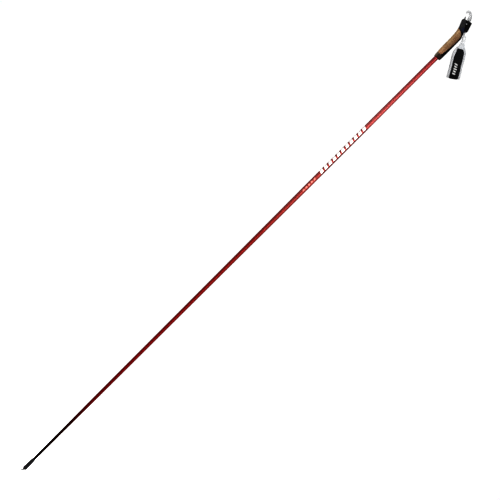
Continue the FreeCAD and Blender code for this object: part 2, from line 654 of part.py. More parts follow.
# ---------------------------------------------------------------------------
# build and write the parts
# ---------------------------------------------------------------------------
def build_parts():
    body = grip_body()
    cork_side = spline_prism(CORK_EDGE, CORK_FOOT_CORNERS, GRIP_CUT_HALF_Y)
    head = whole_head()
    parts = {
        "shaft_tube": shaft_tube(),
        "shaft_foot_plug": shaft_plug(SHAFT_PROFILE[0][1], SHAFT_FOOT_Z),
        "shaft_top_plug": shaft_plug(SHAFT_TOP_R, SHAFT_TOP_Z - PLUG_LENGTH),
        "ferrule_adhesive": revolve(FERRULE_GLUE),
        "tip_ferrule": tip_ferrule(),
        "tip_spike": tip_spike(),
        "cork_shell": cork_shell(body, cork_side),
        "grip_core": grip_core(body, cork_side, head),
        "end_collar": end_collar(),
        "grip_adhesive": grip_adhesive(),
        "strap_housing": strap_housing(head),
        "wedge_pin": wedge_pin(),
        "strap_wedge": strap_wedge(),
        "band_outer": band_outer(),
        "band_lining": band_lining(),
        "binding_front_edge": edge_binding(-BINDING_OUTER, -BINDING_INNER),
        "binding_rear_edge": edge_binding(BINDING_INNER, BINDING_OUTER),
        "palm_pad": loop_cover(PAD_OFFSET, PAD_T, loop_trim(PAD_OUTLINE)),
        # the patch covers the -Y side only
        "woven_patch": loop_cover(PATCH_OFFSET, PATCH_T, loop_trim(PATCH_OUTLINE, y_max=0)),
    }
    for place, sign in (("front", -1), ("rear", 1)):
        parts["webbing_%s_clamped" % place] = webbing_clamped(sign)
        parts["webbing_%s_link" % place] = webbing_link(sign)
        parts["webbing_%s_tail" % place] = webbing_tail(sign)
    return parts


os.makedirs("parts", exist_ok=True)
for name, shape in build_parts().items():
    shape.exportStep("parts/%s.step" % name)
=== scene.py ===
import json
import math

import bpy
import numpy as np
from mathutils import Matrix, Vector


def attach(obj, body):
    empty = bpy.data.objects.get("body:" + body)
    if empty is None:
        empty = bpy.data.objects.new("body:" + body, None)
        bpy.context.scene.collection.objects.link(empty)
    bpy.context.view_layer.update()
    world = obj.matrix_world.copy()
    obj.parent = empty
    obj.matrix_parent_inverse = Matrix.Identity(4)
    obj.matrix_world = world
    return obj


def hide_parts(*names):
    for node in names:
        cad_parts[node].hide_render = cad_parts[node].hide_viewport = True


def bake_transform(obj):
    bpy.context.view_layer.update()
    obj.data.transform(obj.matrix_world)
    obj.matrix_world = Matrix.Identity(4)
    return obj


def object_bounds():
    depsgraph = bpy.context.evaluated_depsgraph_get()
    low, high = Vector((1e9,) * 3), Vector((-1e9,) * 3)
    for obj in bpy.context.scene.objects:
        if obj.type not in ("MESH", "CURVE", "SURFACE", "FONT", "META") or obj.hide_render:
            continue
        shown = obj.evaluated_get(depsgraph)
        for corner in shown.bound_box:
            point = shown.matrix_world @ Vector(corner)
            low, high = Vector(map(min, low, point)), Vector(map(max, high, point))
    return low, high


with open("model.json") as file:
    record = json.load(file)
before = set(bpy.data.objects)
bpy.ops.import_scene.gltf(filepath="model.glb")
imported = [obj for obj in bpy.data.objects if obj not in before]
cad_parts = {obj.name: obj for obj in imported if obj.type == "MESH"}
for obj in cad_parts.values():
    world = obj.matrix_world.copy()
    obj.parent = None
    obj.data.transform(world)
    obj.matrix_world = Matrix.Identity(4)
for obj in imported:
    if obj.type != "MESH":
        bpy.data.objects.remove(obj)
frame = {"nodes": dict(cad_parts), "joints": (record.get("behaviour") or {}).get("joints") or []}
CAD_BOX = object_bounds()
NODES = frame["nodes"]
JOINT = {j["name"]: j for j in frame["joints"]}


# ---------------------------------------------------------------------------
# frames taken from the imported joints: millimetres here, metres when meshes are made
# ---------------------------------------------------------------------------
def unit(v):
    v = np.asarray(v, float)
    return v / np.linalg.norm(v)


Y = np.array([0.0, 1.0, 0.0])
UP_H = unit(JOINT["wedge_release"]["axis"])            # along the head, upward
SIDE_P = np.array([UP_H[2], 0.0, -UP_H[0]])            # across the head, to the rear
P_SWING = np.array(JOINT["strap_swing"]["pos_m"]) * 1000.0
P_FLOP = np.array(JOINT["strap_flop"]["pos_m"]) * 1000.0
P_TAIL = np.array(JOINT["tail_flex"]["pos_m"]) * 1000.0
N_LOOP = unit(JOINT["strap_flop"]["axis"])             # across the hand loop
D_LOOP = np.array([N_LOOP[2], 0.0, -N_LOOP[0]])        # the way the hand loop hangs
FLOP_S = 26.0
LOOP_O = P_FLOP - FLOP_S * D_LOOP
WEB_MID_P = 10.15
SWING_H = -6.2
HEAD_O = P_SWING - WEB_MID_P * SIDE_P - SWING_H * UP_H


def hp(p, h, y=0.0):
    return HEAD_O + p * SIDE_P + h * UP_H + y * Y


VIEW_GAMMA = 0.5
TONE = VIEW_GAMMA / 0.65          # colours below were chosen under a view gamma of 0.65


def srgb(r, g, b):
    """0-255 display values to linear RGBA, allowing for the view gamma."""
    def lin(c):
        c = c / 255.0
        c = c / 12.92 if c <= 0.04045 else ((c + 0.055) / 1.055) ** 2.4
        return c ** TONE
    return (lin(r), lin(g), lin(b), 1.0)


def smooth01(x):
    x = np.clip(x, 0.0, 1.0)
    return x * x * (3.0 - 2.0 * x)


def cubic(t, y, tq):
    """Natural cubic spline through (t, y), sampled at tq; y may have several columns."""
    t, y, tq = np.asarray(t, float), np.asarray(y, float), np.asarray(tq, float)
    n = len(t)
    h = np.diff(t)
    a = np.zeros((n, n))
    r = np.zeros((n,) + y.shape[1:])
    a[0, 0] = a[-1, -1] = 1.0
    for i in range(1, n - 1):
        a[i, i - 1], a[i, i], a[i, i + 1] = h[i - 1], 2 * (h[i - 1] + h[i]), h[i]
        r[i] = 3 * ((y[i + 1] - y[i]) / h[i] - (y[i] - y[i - 1]) / h[i - 1])
    c = np.linalg.solve(a, r)
    k = np.clip(np.searchsorted(t, tq, side="right") - 1, 0, n - 2)
    d = tq - t[k]
    if y.ndim > 1:
        d, hk = d[:, None], h[k][:, None]
    else:
        hk = h[k]
    b = (y[k + 1] - y[k]) / hk - hk * (2 * c[k] + c[k + 1]) / 3
    e = (c[k + 1] - c[k]) / (3 * hk)
    return y[k] + b * d + c[k] * d ** 2 + e * d ** 3


def hash01(a, b=0.0, c=0.0):
    """Repeatable 0-1 value from numbers."""
    v = np.sin(np.asarray(a, float) * 12.9898 + b * 78.233 + c * 37.719) * 43758.5453
    return v - np.floor(v)


# ---------------------------------------------------------------------------
# mesh builder
# ---------------------------------------------------------------------------
class Build:
    """Collects vertices (mm), faces, per-vertex UVs (mm) and material numbers."""

    def __init__(self):
        self.v, self.f, self.uv, self.mi, self.n = [], [], [], [], 0

    def add(self, verts, faces, uvs, mat=0):
        verts = np.asarray(verts, float).reshape(-1, 3)
        uvs = np.asarray(uvs, float).reshape(-1, 2)
        self.v.append(verts)
        self.uv.append(uvs)
        base = self.n
        self.f.extend([tuple(int(i) + base for i in f) for f in faces])
        if np.isscalar(mat):
            self.mi.extend([int(mat)] * len(faces))
        else:
            self.mi.extend(int(m) for m in mat)
        self.n += len(verts)

    def tube(self, rings, uvs, caps=True, mat=0, face_mat=None):
        """Closed rings (R, K, 3) joined along; the ends are closed with their own flat strips."""
        rings, uvs = np.asarray(rings, float), np.asarray(uvs, float)
        r, k = rings.shape[:2]
        i, j = np.meshgrid(np.arange(r - 1), np.arange(k), indexing="ij")
        j2 = (j + 1) % k
        f = np.stack([i * k + j, i * k + j2, (i + 1) * k + j2, (i + 1) * k + j], -1).reshape(-1, 4)
        m = mat if face_mat is None else np.asarray(face_mat).reshape(-1)
        self.add(rings.reshape(-1, 3), f, uvs.reshape(-1, 2), m)
        if caps:
            for ring, uv, flip in ((rings[0], uvs[0], True), (rings[-1], uvs[-1], False)):
                strips = []
                for a in range(k // 2 - 1):
                    q = (a, a + 1, k - 2 - a, k - 1 - a)
                    strips.append(q[::-1] if flip else q)
                self.add(ring, strips, uv, mat)

    def make(self, name, mats, smooth=True):
        me = bpy.data.meshes.new(name)
        v = np.concatenate(self.v) * 0.001
        uv = np.concatenate(self.uv)
        me.from_pydata(v.tolist(), [], self.f)
        layer = me.uv_layers.new(name="mm")
        loops = np.empty(len(me.loops), np.int32)
        me.loops.foreach_get("vertex_index", loops)
        layer.data.foreach_set("uv", uv[loops].astype(np.float32).ravel())
        for m in mats:
            me.materials.append(m)
        me.polygons.foreach_set("material_index", np.array(self.mi, np.int32))
        me.polygons.foreach_set("use_smooth", np.full(len(me.polygons), smooth))
        me.validate(verbose=False)
        me.update()
        o = bpy.data.objects.new(name, me)
        bpy.context.scene.collection.objects.link(o)
        return o


def outward(o):
    """Turns a closed mesh's faces outward."""
    import bmesh
    bm = bmesh.new()
    bm.from_mesh(o.data)
    bmesh.ops.recalc_face_normals(bm, faces=bm.faces)
    bm.to_mesh(o.data)
    bm.free()
    o.data.update()


# ---------------------------------------------------------------------------
# materials
# ---------------------------------------------------------------------------
class Mat:
    def __init__(self, name, **base):
        self.m = bpy.data.materials.new(name)
        self.m.use_nodes = True
        self.nt = self.m.node_tree
        self.nt.nodes.clear()
        out = self.node("ShaderNodeOutputMaterial")
        self.b = self.node("ShaderNodeBsdfPrincipled")
        self.nt.links.new(self.b.outputs["BSDF"], out.inputs["Surface"])
        for k, v in base.items():
            self.set(k, v)
        self._obj = self._uv = None

    def node(self, kind, **props):
        n = self.nt.nodes.new(kind)
        for k, v in props.items():
            setattr(n, k, v)
        return n

    def put(self, socket, value):
        if isinstance(value, bpy.types.NodeSocket):
            self.nt.links.new(value, socket)
        else:
            socket.default_value = value

    def set(self, name, value):
        self.put(self.b.inputs[name.replace("_", " ")], value)

    def math(self, op, a, b=0.0, c=0.0, clamp=False):
        n = self.node("ShaderNodeMath", operation=op, use_clamp=clamp)
        for s, v in zip(n.inputs, (a, b, c)):
            self.put(s, v)
        return n.outputs[0]

    def obj(self):
        """Position in millimetres, in the object's own frame."""
        if self._obj is None:
            t = self.node("ShaderNodeTexCoord")
            n = self.node("ShaderNodeVectorMath", operation="SCALE")
            self.nt.links.new(t.outputs["Object"], n.inputs[0])
            n.inputs["Scale"].default_value = 1000.0
            self._obj = n.outputs[0]
        return self._obj

    def uv(self):
        if self._uv is None:
            self._uv = self.node("ShaderNodeUVMap", uv_map="mm").outputs[0]
        return self._uv

    def xyz(self, vec):
        return self.node_link("ShaderNodeSeparateXYZ", vec).outputs

    def node_link(self, kind, vec, **props):
        n = self.node(kind, **props)
        self.nt.links.new(vec, n.inputs[0])
        return n

    def vscale(self, vec, s):
        n = self.node("ShaderNodeVectorMath", operation="MULTIPLY")
        self.nt.links.new(vec, n.inputs[0])
        n.inputs[1].default_value = s
        return n.outputs[0]

    def noise(self, vec, scale, detail=3.0, rough=0.5, distort=0.0):
        n = self.node("ShaderNodeTexNoise")
        self.nt.links.new(vec, n.inputs["Vector"])
        n.inputs["Scale"].default_value = scale
        n.inputs["Detail"].default_value = detail
        n.inputs["Roughness"].default_value = rough
        n.inputs["Distortion"].default_value = distort
        return n.outputs[0]

    def voronoi(self, vec, scale, feature="F1", out="Distance"):
        n = self.node("ShaderNodeTexVoronoi", feature=feature)
        self.nt.links.new(vec, n.inputs["Vector"])
        n.inputs["Scale"].default_value = scale
        return n.outputs[out]

    def ramp(self, fac, stops, interp="LINEAR"):
        n = self.node("ShaderNodeValToRGB")
        self.put(n.inputs[0], fac)
        cr = n.color_ramp
        cr.interpolation = interp
        while len(cr.elements) > 1:
            cr.elements.remove(cr.elements[-1])
        cr.elements[0].position, cr.elements[0].color = stops[0]
        for p, c in stops[1:]:
            e = cr.elements.new(p)
            e.color = c
        return n.outputs[0]

    def grey(self, fac, lo, hi, v0=0.0, v1=1.0):
        """Smooth map of fac from lo..hi to v0..v1."""
        n = self.node("ShaderNodeMapRange", interpolation_type="SMOOTHSTEP")
        self.put(n.inputs["Value"], fac)
        n.inputs["From Min"].default_value = lo
        n.inputs["From Max"].default_value = hi
        n.inputs["To Min"].default_value = v0
        n.inputs["To Max"].default_value = v1
        return n.outputs[0]

    def mix(self, fac, a, b, mode="MIX"):
        n = self.node("ShaderNodeMix", data_type="RGBA", blend_type=mode)
        self.put(n.inputs[0], fac)
        self.put(n.inputs[6], a)
        self.put(n.inputs[7], b)
        return n.outputs[2]

    def bump(self, height, strength, distance, normal=None):
        n = self.node("ShaderNodeBump")
        n.inputs["Strength"].default_value = strength
        n.inputs["Distance"].default_value = distance
        self.nt.links.new(height, n.inputs["Height"])
        if normal is not None:
            self.nt.links.new(normal, n.inputs["Normal"])
        return n.outputs[0]

    def edges(self, radius_mm, lo=0.02, hi=0.25):
        """0-1 mask of convex and concave edges."""
        bev = self.node("ShaderNodeBevel", samples=6)
        bev.inputs["Radius"].default_value = radius_mm * 0.001
        geo = self.node("ShaderNodeNewGeometry")
        dot = self.node("ShaderNodeVectorMath", operation="DOT_PRODUCT")
        self.nt.links.new(bev.outputs[0], dot.inputs[0])
        self.nt.links.new(geo.outputs["Normal"], dot.inputs[1])
        gap = self.math("SUBTRACT", 1.0, dot.outputs["Value"])
        return self.grey(gap, lo, hi)


def mat_shaft():
    m = Mat("lacquered_composite", Metallic=0.6, Roughness=0.36, Coat_Weight=0.03, Coat_Roughness=0.12,
            Specular_IOR_Level=0.05, Specular_Tint=(0.4, 0.04, 0.04, 1.0))
    p = m.obj()
    x, y, z = m.xyz(p)[0:3]
    lo, hi = 22.0, 1720.0
    # colour along the tube: a paint fade from near black at the foot to deep red, and a painted highlight, the
    # lighter band brightest around z 1400
    tone = [
        (22, (4, 1, 1)), (120, (22, 1, 1)), (180, (36, 1, 1)), (270, (96, 2, 4)), (420, (112, 8, 10)),
        (900, (124, 34, 30)), (1100, (142, 64, 60)), (1400, (160, 84, 82)), (1700, (138, 50, 52))]
    t = m.grey(z, lo, hi)
    n = m.node("ShaderNodeMapRange")
    m.put(n.inputs["Value"], z)
    n.inputs["From Min"].default_value = lo
    n.inputs["From Max"].default_value = hi
    base = m.ramp(n.outputs[0], [((h - lo) / (hi - lo), srgb(*c)) for h, c in tone])
    # fibre streaks under the lacquer
    streak = m.noise(m.vscale(p, (1.6, 1.6, 0.02)), 1.0, 4.0, 0.6)
    base = m.mix(m.grey(streak, 0.35, 0.75, 0.0, 0.22), base, m.mix(0.5, base, (0.0, 0.0, 0.0, 1.0)))
    # plain light bars, leaning, on both flat-facing sides of the tube
    turn = m.math("ARCTAN2", x, m.math("ABSOLUTE", y))      # 0 facing +-Y, positive to the rear
    zz = m.math("ADD", z, m.math("MULTIPLY", turn, 2.2))
    cell = m.math("DIVIDE", m.math("SUBTRACT", zz, 1170.0), 16.6)
    frac = m.math("FRACT", cell)
    in_bar = m.math("MULTIPLY", m.grey(frac, 0.0, 0.03), m.grey(frac, 0.66, 0.70, 1.0, 0.0))
    zone = m.math("MULTIPLY", m.math("GREATER_THAN", cell, 0.0), m.math("LESS_THAN", cell, 11.0))
    width = m.math("MULTIPLY", m.grey(turn, 0.5, 0.56, 1.0, 0.0), m.grey(turn, -1.34, -1.26))
    bars = m.math("MULTIPLY", m.math("MULTIPLY", in_bar, zone), width)
    cell2 = m.math("DIVIDE", m.math("SUBTRACT", zz, 1100.0), 10.8)
    frac2 = m.math("FRACT", cell2)
    in2 = m.math("MULTIPLY", m.grey(frac2, 0.0, 0.05), m.grey(frac2, 0.62, 0.68, 1.0, 0.0))
    zone2 = m.math("MULTIPLY", m.math("GREATER_THAN", cell2, 0.0), m.math("LESS_THAN", cell2, 5.0))
    small = m.math("MULTIPLY", m.math("MULTIPLY", in2, zone2), m.grey(m.math("ABSOLUTE", turn), 0.36, 0.42, 1.0, 0.0))
    worn = m.grey(m.noise(p, 1.3, 4.0, 0.65), 0.66, 0.74, 1.0, 0.35)
    col = m.mix(m.math("MULTIPLY", bars, worn), base, srgb(232, 230, 226))
    col = m.mix(m.math("MULTIPLY", m.math("MULTIPLY", small, worn), 0.62), col, srgb(232, 170, 156))
    # painted shade: the front third of the tube is darkened in the colour, the rear edge a little, and more along the
    # bars
    front = m.grey(turn, -1.2, -0.2, 0.5, 0.0)
    rear = m.grey(turn, 0.75, 1.5, 0.0, 0.35)
    rear = m.math("MAXIMUM", rear, m.math("MULTIPLY", zone, m.grey(turn, 0.5, 0.7, 0.0, 0.5)))
    dim = m.math("MULTIPLY", m.math("MAXIMUM", front, rear), m.math("SUBTRACT", 1.0, m.math("MULTIPLY", bars, 0.85)))
    col = m.mix(dim, col, m.mix(0.93, col, (0.0, 0.0, 0.0, 1.0)))
    m.set("Base_Color", col)
    m.set("Metallic", m.math("SUBTRACT", 0.6, m.math("MULTIPLY", m.math("MAXIMUM", bars, small), 0.6)))
    scratch = m.noise(m.vscale(p, (3.0, 3.0, 0.12)), 2.0, 6.0, 0.7)
    m.set("Roughness", m.grey(scratch, 0.3, 0.8, 0.46, 0.56))
    m.set("Coat_Roughness", m.grey(m.noise(p, 0.25, 4.0, 0.6), 0.35, 0.75, 0.08, 0.2))
    m.set("Normal", m.bump(m.noise(m.vscale(p, (0.35, 0.35, 0.03)), 1.0, 2.0, 0.5), 0.04, 0.0002))
    return m.m


def mat_plain(name, colour, rough, spec=0.4, grain=1.2, amount=0.12, dark=0.75):
    m = Mat(name, Roughness=rough, Specular_IOR_Level=spec)
    p = m.obj()
    n = m.noise(p, grain, 4.0, 0.6)
    c = srgb(*colour)
    d = tuple(v * dark for v in c[:3]) + (1.0,)
    m.set("Base_Color", m.mix(m.grey(n, 0.35, 0.7), c, d))
    m.set("Roughness", m.grey(n, 0.3, 0.75, rough - 0.06, rough + 0.1))
    m.set("Normal", m.bump(n, amount, 0.0002))
    return m.m


def mat_ferrule():
    m = Mat("tip_plastic", Specular_IOR_Level=0.25)
    p = m.obj()
    x, y, z = m.xyz(p)[0:3]
    fine = m.noise(p, 3.5, 3.0, 0.6)
    big = m.noise(p, 0.35, 4.0, 0.6)
    c = m.mix(m.grey(big, 0.35, 0.7), srgb(22, 22, 23), srgb(35, 35, 36))
    scuff = m.math("MULTIPLY", m.grey(m.noise(m.vscale(p, (1.4, 1.4, 0.5)), 1.6, 6.0, 0.75), 0.56, 0.66),
                   m.grey(z, 12.0, 26.0, 1.0, 0.15))
    c = m.mix(m.math("MULTIPLY", scuff, 0.5), c, srgb(92, 90, 86))
    dust = m.grey(z, 6.0, 15.0, 0.35, 0.0)
    c = m.mix(dust, c, srgb(84, 80, 74))
    m.set("Base_Color", m.mix(m.math("MULTIPLY", m.edges(0.4), 0.35), c, srgb(88, 88, 88)))
    m.set("Roughness", m.grey(fine, 0.3, 0.7, 0.34, 0.52))
    m.set("Normal", m.bump(m.math("ADD", fine, m.math("MULTIPLY", scuff, 1.5)), 0.25, 0.00012))
    return m.m


def mat_carbide():
    m = Mat("hard_metal", Metallic=1.0)
    p = m.obj()
    n = m.noise(m.vscale(p, (2.5, 2.5, 0.6)), 3.0, 6.0, 0.7)
    pits = m.voronoi(p, 2.6)
    m.set("Base_Color", m.mix(m.grey(n, 0.35, 0.7), srgb(104, 102, 99), srgb(66, 64, 61)))
    m.set("Roughness", m.grey(n, 0.3, 0.7, 0.25, 0.5))
    m.set("Normal", m.bump(m.math("ADD", n, m.grey(pits, 0.0, 0.25)), 0.3, 0.00008))
    return m.m


def mat_core():
    m = Mat("grip_moulding", Specular_IOR_Level=0.07)
    p = m.obj()
    x, y, z = m.xyz(p)[0:3]
    fine = m.noise(p, 4.5, 3.0, 0.65)
    big = m.noise(p, 0.12, 3.0, 0.5)
    head = m.grey(z, 1716.0, 1731.0)
    bx = m.math("SUBTRACT", x, 0.5)
    bz = m.math("SUBTRACT", z, 1731.0)
    rad = m.math("SQRT", m.math("ADD", m.math("MULTIPLY", bx, bx), m.math("MULTIPLY", bz, bz)))
    blue = m.grey(rad, 3.0, 11.0, 1.0, 0.0)
    charcoal = m.mix(m.grey(big, 0.35, 0.65), srgb(47, 46, 47), srgb(36, 36, 38))
    # painted highlight and shade: the head is lighter charcoal at the front and fades to near black towards the rear
    charcoal = m.mix(m.grey(x, -12.0, 3.0, 0.0, 0.72), charcoal, srgb(7, 7, 8))
    charcoal = m.mix(m.math("MULTIPLY", blue, 0.8), charcoal, srgb(24, 28, 52))
    c = m.mix(head, srgb(6, 5, 5), charcoal)
    c = m.mix(m.math("MULTIPLY", m.edges(0.5), 0.22), c, srgb(66, 68, 74))
    scuff = m.grey(m.noise(p, 0.9, 6.0, 0.75), 0.6, 0.72)
    c = m.mix(m.math("MULTIPLY", scuff, 0.1), c, srgb(80, 80, 82))
    m.set("Base_Color", c)
    m.set("Roughness", m.math("ADD", m.grey(fine, 0.3, 0.7, 0.48, 0.68), m.grey(x, 0.0, 7.0, 0.0, 0.22)))
    m.set("Normal", m.bump(fine, 0.35, 0.00012))
    return m.m


def mat_housing():
    m = Mat("head_plastic", Specular_IOR_Level=0.08)
    p = m.obj()
    fine = m.noise(p, 5.0, 3.0, 0.6)
    big = m.noise(p, 0.25, 4.0, 0.6)
    c = m.mix(m.grey(big, 0.35, 0.7), srgb(5, 5, 6), srgb(10, 10, 11))
    scuff = m.grey(m.noise(m.vscale(p, (1.0, 1.0, 2.2)), 0.7, 7.0, 0.75), 0.6, 0.7)
    c = m.mix(m.math("MULTIPLY", scuff, 0.25), c, srgb(90, 90, 92))
    m.set("Base_Color", m.mix(m.math("MULTIPLY", m.edges(0.45), 0.3), c, srgb(95, 95, 96)))
    m.set("Roughness", m.grey(big, 0.3, 0.75, 0.3, 0.5))
    m.set("Normal", m.bump(m.math("ADD", fine, m.math("MULTIPLY", scuff, 0.8)), 0.22, 0.0001))
    return m.m


def mat_cork():
    m = Mat("cork_grain", Specular_IOR_Level=0.22)
    p = m.obj()
    x, y, z = m.xyz(p)[0:3]
    warp = m.node("ShaderNodeVectorMath", operation="ADD")
    nz = m.node("ShaderNodeTexNoise")
    m.nt.links.new(p, nz.inputs["Vector"])
    nz.inputs["Scale"].default_value = 0.5
    m.nt.links.new(p, warp.inputs[0])
    m.nt.links.new(nz.outputs["Color"], warp.inputs[1])
    w = warp.outputs[0]
    g1 = m.xyz(m.voronoi(w, 0.46, out="Color"))[0]
    g2 = m.xyz(m.voronoi(w, 1.2, out="Color"))[1]
    g3 = m.noise(p, 2.6, 4.0, 0.7)
    cloud = m.noise(p, 0.085, 3.0, 0.55)
    tone = m.math("ADD", m.math("MULTIPLY", g1, 0.26), m.math("MULTIPLY", g2, 0.2))
    tone = m.math("ADD", tone, m.math("MULTIPLY", g3, 0.22))
    tone = m.math("ADD", tone, m.math("MULTIPLY", cloud, 0.42))
    # painted light: the cork is made slowly lighter towards the bottom
    painted_light_slope = m.math("MULTIPLY", m.math("SUBTRACT", z, 1724.0), -0.0007)
    tone = m.math("ADD", tone, painted_light_slope)
    c = m.ramp(tone, [(0.12, srgb(95, 67, 47)), (0.34, srgb(135, 105, 77)), (0.54, srgb(159, 131, 99)),
                      (0.74, srgb(177, 153, 119)), (0.95, srgb(198, 180, 150))])
    xs = m.math("ADD", x, m.math("MULTIPLY", m.math("SUBTRACT", z, 1700.0), 0.02))
    shade = m.math("ADD", m.grey(xs, -9.0, -1.0, 0.0, 0.6), m.grey(xs, -1.0, 11.0, 0.0, 0.38))
    c = m.mix(m.math("MULTIPLY", shade, 0.9), c, srgb(56, 32, 18))
    gap = m.grey(m.voronoi(w, 0.46, "DISTANCE_TO_EDGE"), 0.0, 0.055, 1.0, 0.0)
    c = m.mix(m.math("MULTIPLY", gap, 0.24), c, srgb(92, 60, 38))
    pore = m.grey(m.noise(m.vscale(p, (1.0, 1.0, 1.7)), 0.8, 5.0, 0.72), 0.6, 0.66)
    c = m.mix(m.math("MULTIPLY", pore, 0.8), c, srgb(64, 38, 24))
    warm = m.grey(z, 1636.0, 1668.0, 0.22, 0.0)
    c = m.mix(warm, c, srgb(176, 116, 88))
    hand = m.grey(m.noise(p, 0.045, 2.0, 0.5), 0.48, 0.68, 0.0, 0.3)
    c = m.mix(hand, c, srgb(100, 66, 40))
    foot = m.grey(m.math("ADD", z, m.math("MULTIPLY", x, -0.5)), 1633.0, 1644.0, 0.75, 0.0)
    c = m.mix(foot, c, srgb(62, 38, 26))
    m.set("Base_Color", c)
    m.set("Roughness", m.grey(g2, 0.0, 1.0, 0.68, 0.86))
    height = m.math("SUBTRACT", m.math("MULTIPLY", g1, 0.25), m.math("ADD", m.math("MULTIPLY", gap, 0.5), pore))
    m.set("Normal", m.bump(height, 0.55, 0.00022))
    return m.m


def mat_collar():
    m = Mat("collar_elastomer", Specular_IOR_Level=0.16)
    p = m.obj()
    x, y, z = m.xyz(p)[0:3]
    n = m.noise(p, 3.0, 4.0, 0.65)
    # painted light: the collar's front is given a light tan, fading through reddish brown to dark towards the rear
    front = m.grey(x, -7.5, -0.5, 1.0, 0.0)
    mid = m.math("MULTIPLY", m.grey(x, -5.0, -0.5), m.grey(x, 1.5, 6.0, 1.0, 0.0))
    c = m.mix(front, srgb(24, 18, 16), srgb(112, 102, 86))
    c = m.mix(m.math("MULTIPLY", mid, 0.6), c, srgb(54, 30, 24))
    c = m.mix(m.grey(m.noise(p, 0.4, 4.0, 0.6), 0.4, 0.75, 0.0, 0.2), c, srgb(60, 58, 50))
    m.set("Base_Color", c)
    rib = m.math("SINE", m.math("MULTIPLY", z, 4.2))
    m.set("Roughness", m.grey(n, 0.3, 0.7, 0.55, 0.75))
    m.set("Normal", m.bump(m.math("ADD", n, m.math("MULTIPLY", rib, 0.25)), 0.3, 0.0001))
    return m.m


def mat_pin():
    m = Mat("cross_pin_steel", Metallic=1.0)
    p = m.obj()
    n = m.noise(m.vscale(p, (1.0, 5.0, 1.0)), 1.2, 6.0, 0.7)
    m.set("Base_Color", m.mix(m.grey(n, 0.35, 0.7), srgb(168, 168, 170), srgb(132, 132, 134)))
    m.set("Roughness", m.grey(n, 0.3, 0.75, 0.34, 0.52))
    m.set("Normal", m.bump(n, 0.2, 0.00006))
    return m.m


def weave(m, kind, pitch):
    """Height 0-1 of a woven surface from UV in mm."""
    u, v = m.xyz(m.uv())[0:2]
    turn = 2.0 * math.pi
    if kind == "herringbone":
        tri = m.math("PINGPONG", u, pitch * 2.6)
        line = m.math("SINE", m.math("MULTIPLY", m.math("ADD", v, tri), turn / (pitch * 1.15)))
        cord = m.math("SINE", m.math("MULTIPLY", u, turn / (pitch * 0.65)))
        h = m.math("ADD", m.math("MULTIPLY", line, 0.38), m.math("MULTIPLY", cord, 0.12))
    elif kind == "rib":
        line = m.math("SINE", m.math("MULTIPLY", v, turn / pitch))
        cord = m.math("SINE", m.math("MULTIPLY", u, turn / (pitch * 0.45)))
        h = m.math("ADD", m.math("MULTIPLY", line, 0.36), m.math("MULTIPLY", cord, 0.12))
    else:
        a = m.math("SINE", m.math("MULTIPLY", u, turn / pitch))
        b = m.math("SINE", m.math("MULTIPLY", v, turn / pitch))
        over = m.math("MULTIPLY", a, b)
        cord = m.math("SINE", m.math("MULTIPLY", m.math("ADD", u, v), turn / (pitch * 0.5)))
        h = m.math("ADD", m.math("MULTIPLY", over, 0.34), m.math("MULTIPLY", cord, 0.14))
    yarn = m.noise(m.vscale(m.uv(), (2.6, 0.7, 1.0)), 1.6, 3.0, 0.65)
    return m.math("ADD", m.math("ADD", h, 0.42), m.math("MULTIPLY", m.math("SUBTRACT", yarn, 0.5), 0.6)), u, v


def mat_fabric(name, light, dark, kind, pitch, rough=0.85, soil=0.16, bump=0.6, dist=0.0002,
               soil_colour=(120, 116, 106), sheen=0.15):
    m = Mat(name, Specular_IOR_Level=0.15, Sheen_Weight=sheen, Sheen_Roughness=0.5)
    h, u, v = weave(m, kind, pitch)
    c = m.mix(m.grey(h, 0.0, 0.95), srgb(*dark), srgb(*light))
    grime = m.grey(m.noise(m.uv(), 0.07, 4.0, 0.6), 0.46, 0.72, 0.0, soil)
    c = m.mix(grime, c, srgb(*soil_colour))
    fuzz = m.noise(m.uv(), 1.7, 4.0, 0.7)
    c = m.mix(m.grey(fuzz, 0.5, 0.8, 0.0, 0.16), c, srgb(*dark))
    m.set("Base_Color", c)
    m.set("Roughness", m.grey(fuzz, 0.3, 0.7, rough - 0.08, rough + 0.06))
    m.set("Normal", m.bump(h, bump, dist))
    return m.m


def mat_pad(name, base, top, spec, bump_scale, sheen=0.1):
    m = Mat(name, Specular_IOR_Level=spec, Sheen_Weight=sheen, Sheen_Roughness=0.6)
    uv = m.uv()
    cell = m.voronoi(m.vscale(uv, (1.0, 1.0, 1.0)), bump_scale)
    fine = m.noise(uv, 2.4, 4.0, 0.7)
    h = m.math("ADD", m.grey(cell, 0.0, 0.5, 1.0, 0.0), m.math("MULTIPLY", fine, 0.5))
    c = m.mix(m.grey(h, 0.3, 1.3), srgb(*base), srgb(*top))
    rub = m.grey(m.noise(uv, 0.11, 5.0, 0.7), 0.52, 0.75, 0.0, 0.35)
    m.set("Base_Color", m.mix(rub, c, srgb(*top)))
    m.set("Roughness", m.grey(fine, 0.3, 0.7, 0.62, 0.85))
    m.set("Normal", m.bump(h, 0.4, 0.00018))
    return m.m


def mat_wedge():
    m = Mat("wedge_nylon", Specular_IOR_Level=0.2)
    p = m.obj()
    n = m.noise(p, 3.0, 4.0, 0.6)
    c = m.mix(m.grey(n, 0.35, 0.7), srgb(15, 15, 16), srgb(22, 22, 23))
    m.set("Base_Color", m.mix(m.math("MULTIPLY", m.edges(0.4), 0.2), c, srgb(70, 70, 72)))
    m.set("Roughness", m.grey(n, 0.3, 0.7, 0.4, 0.58))
    m.set("Normal", m.bump(n, 0.25, 0.0001))
    return m.m


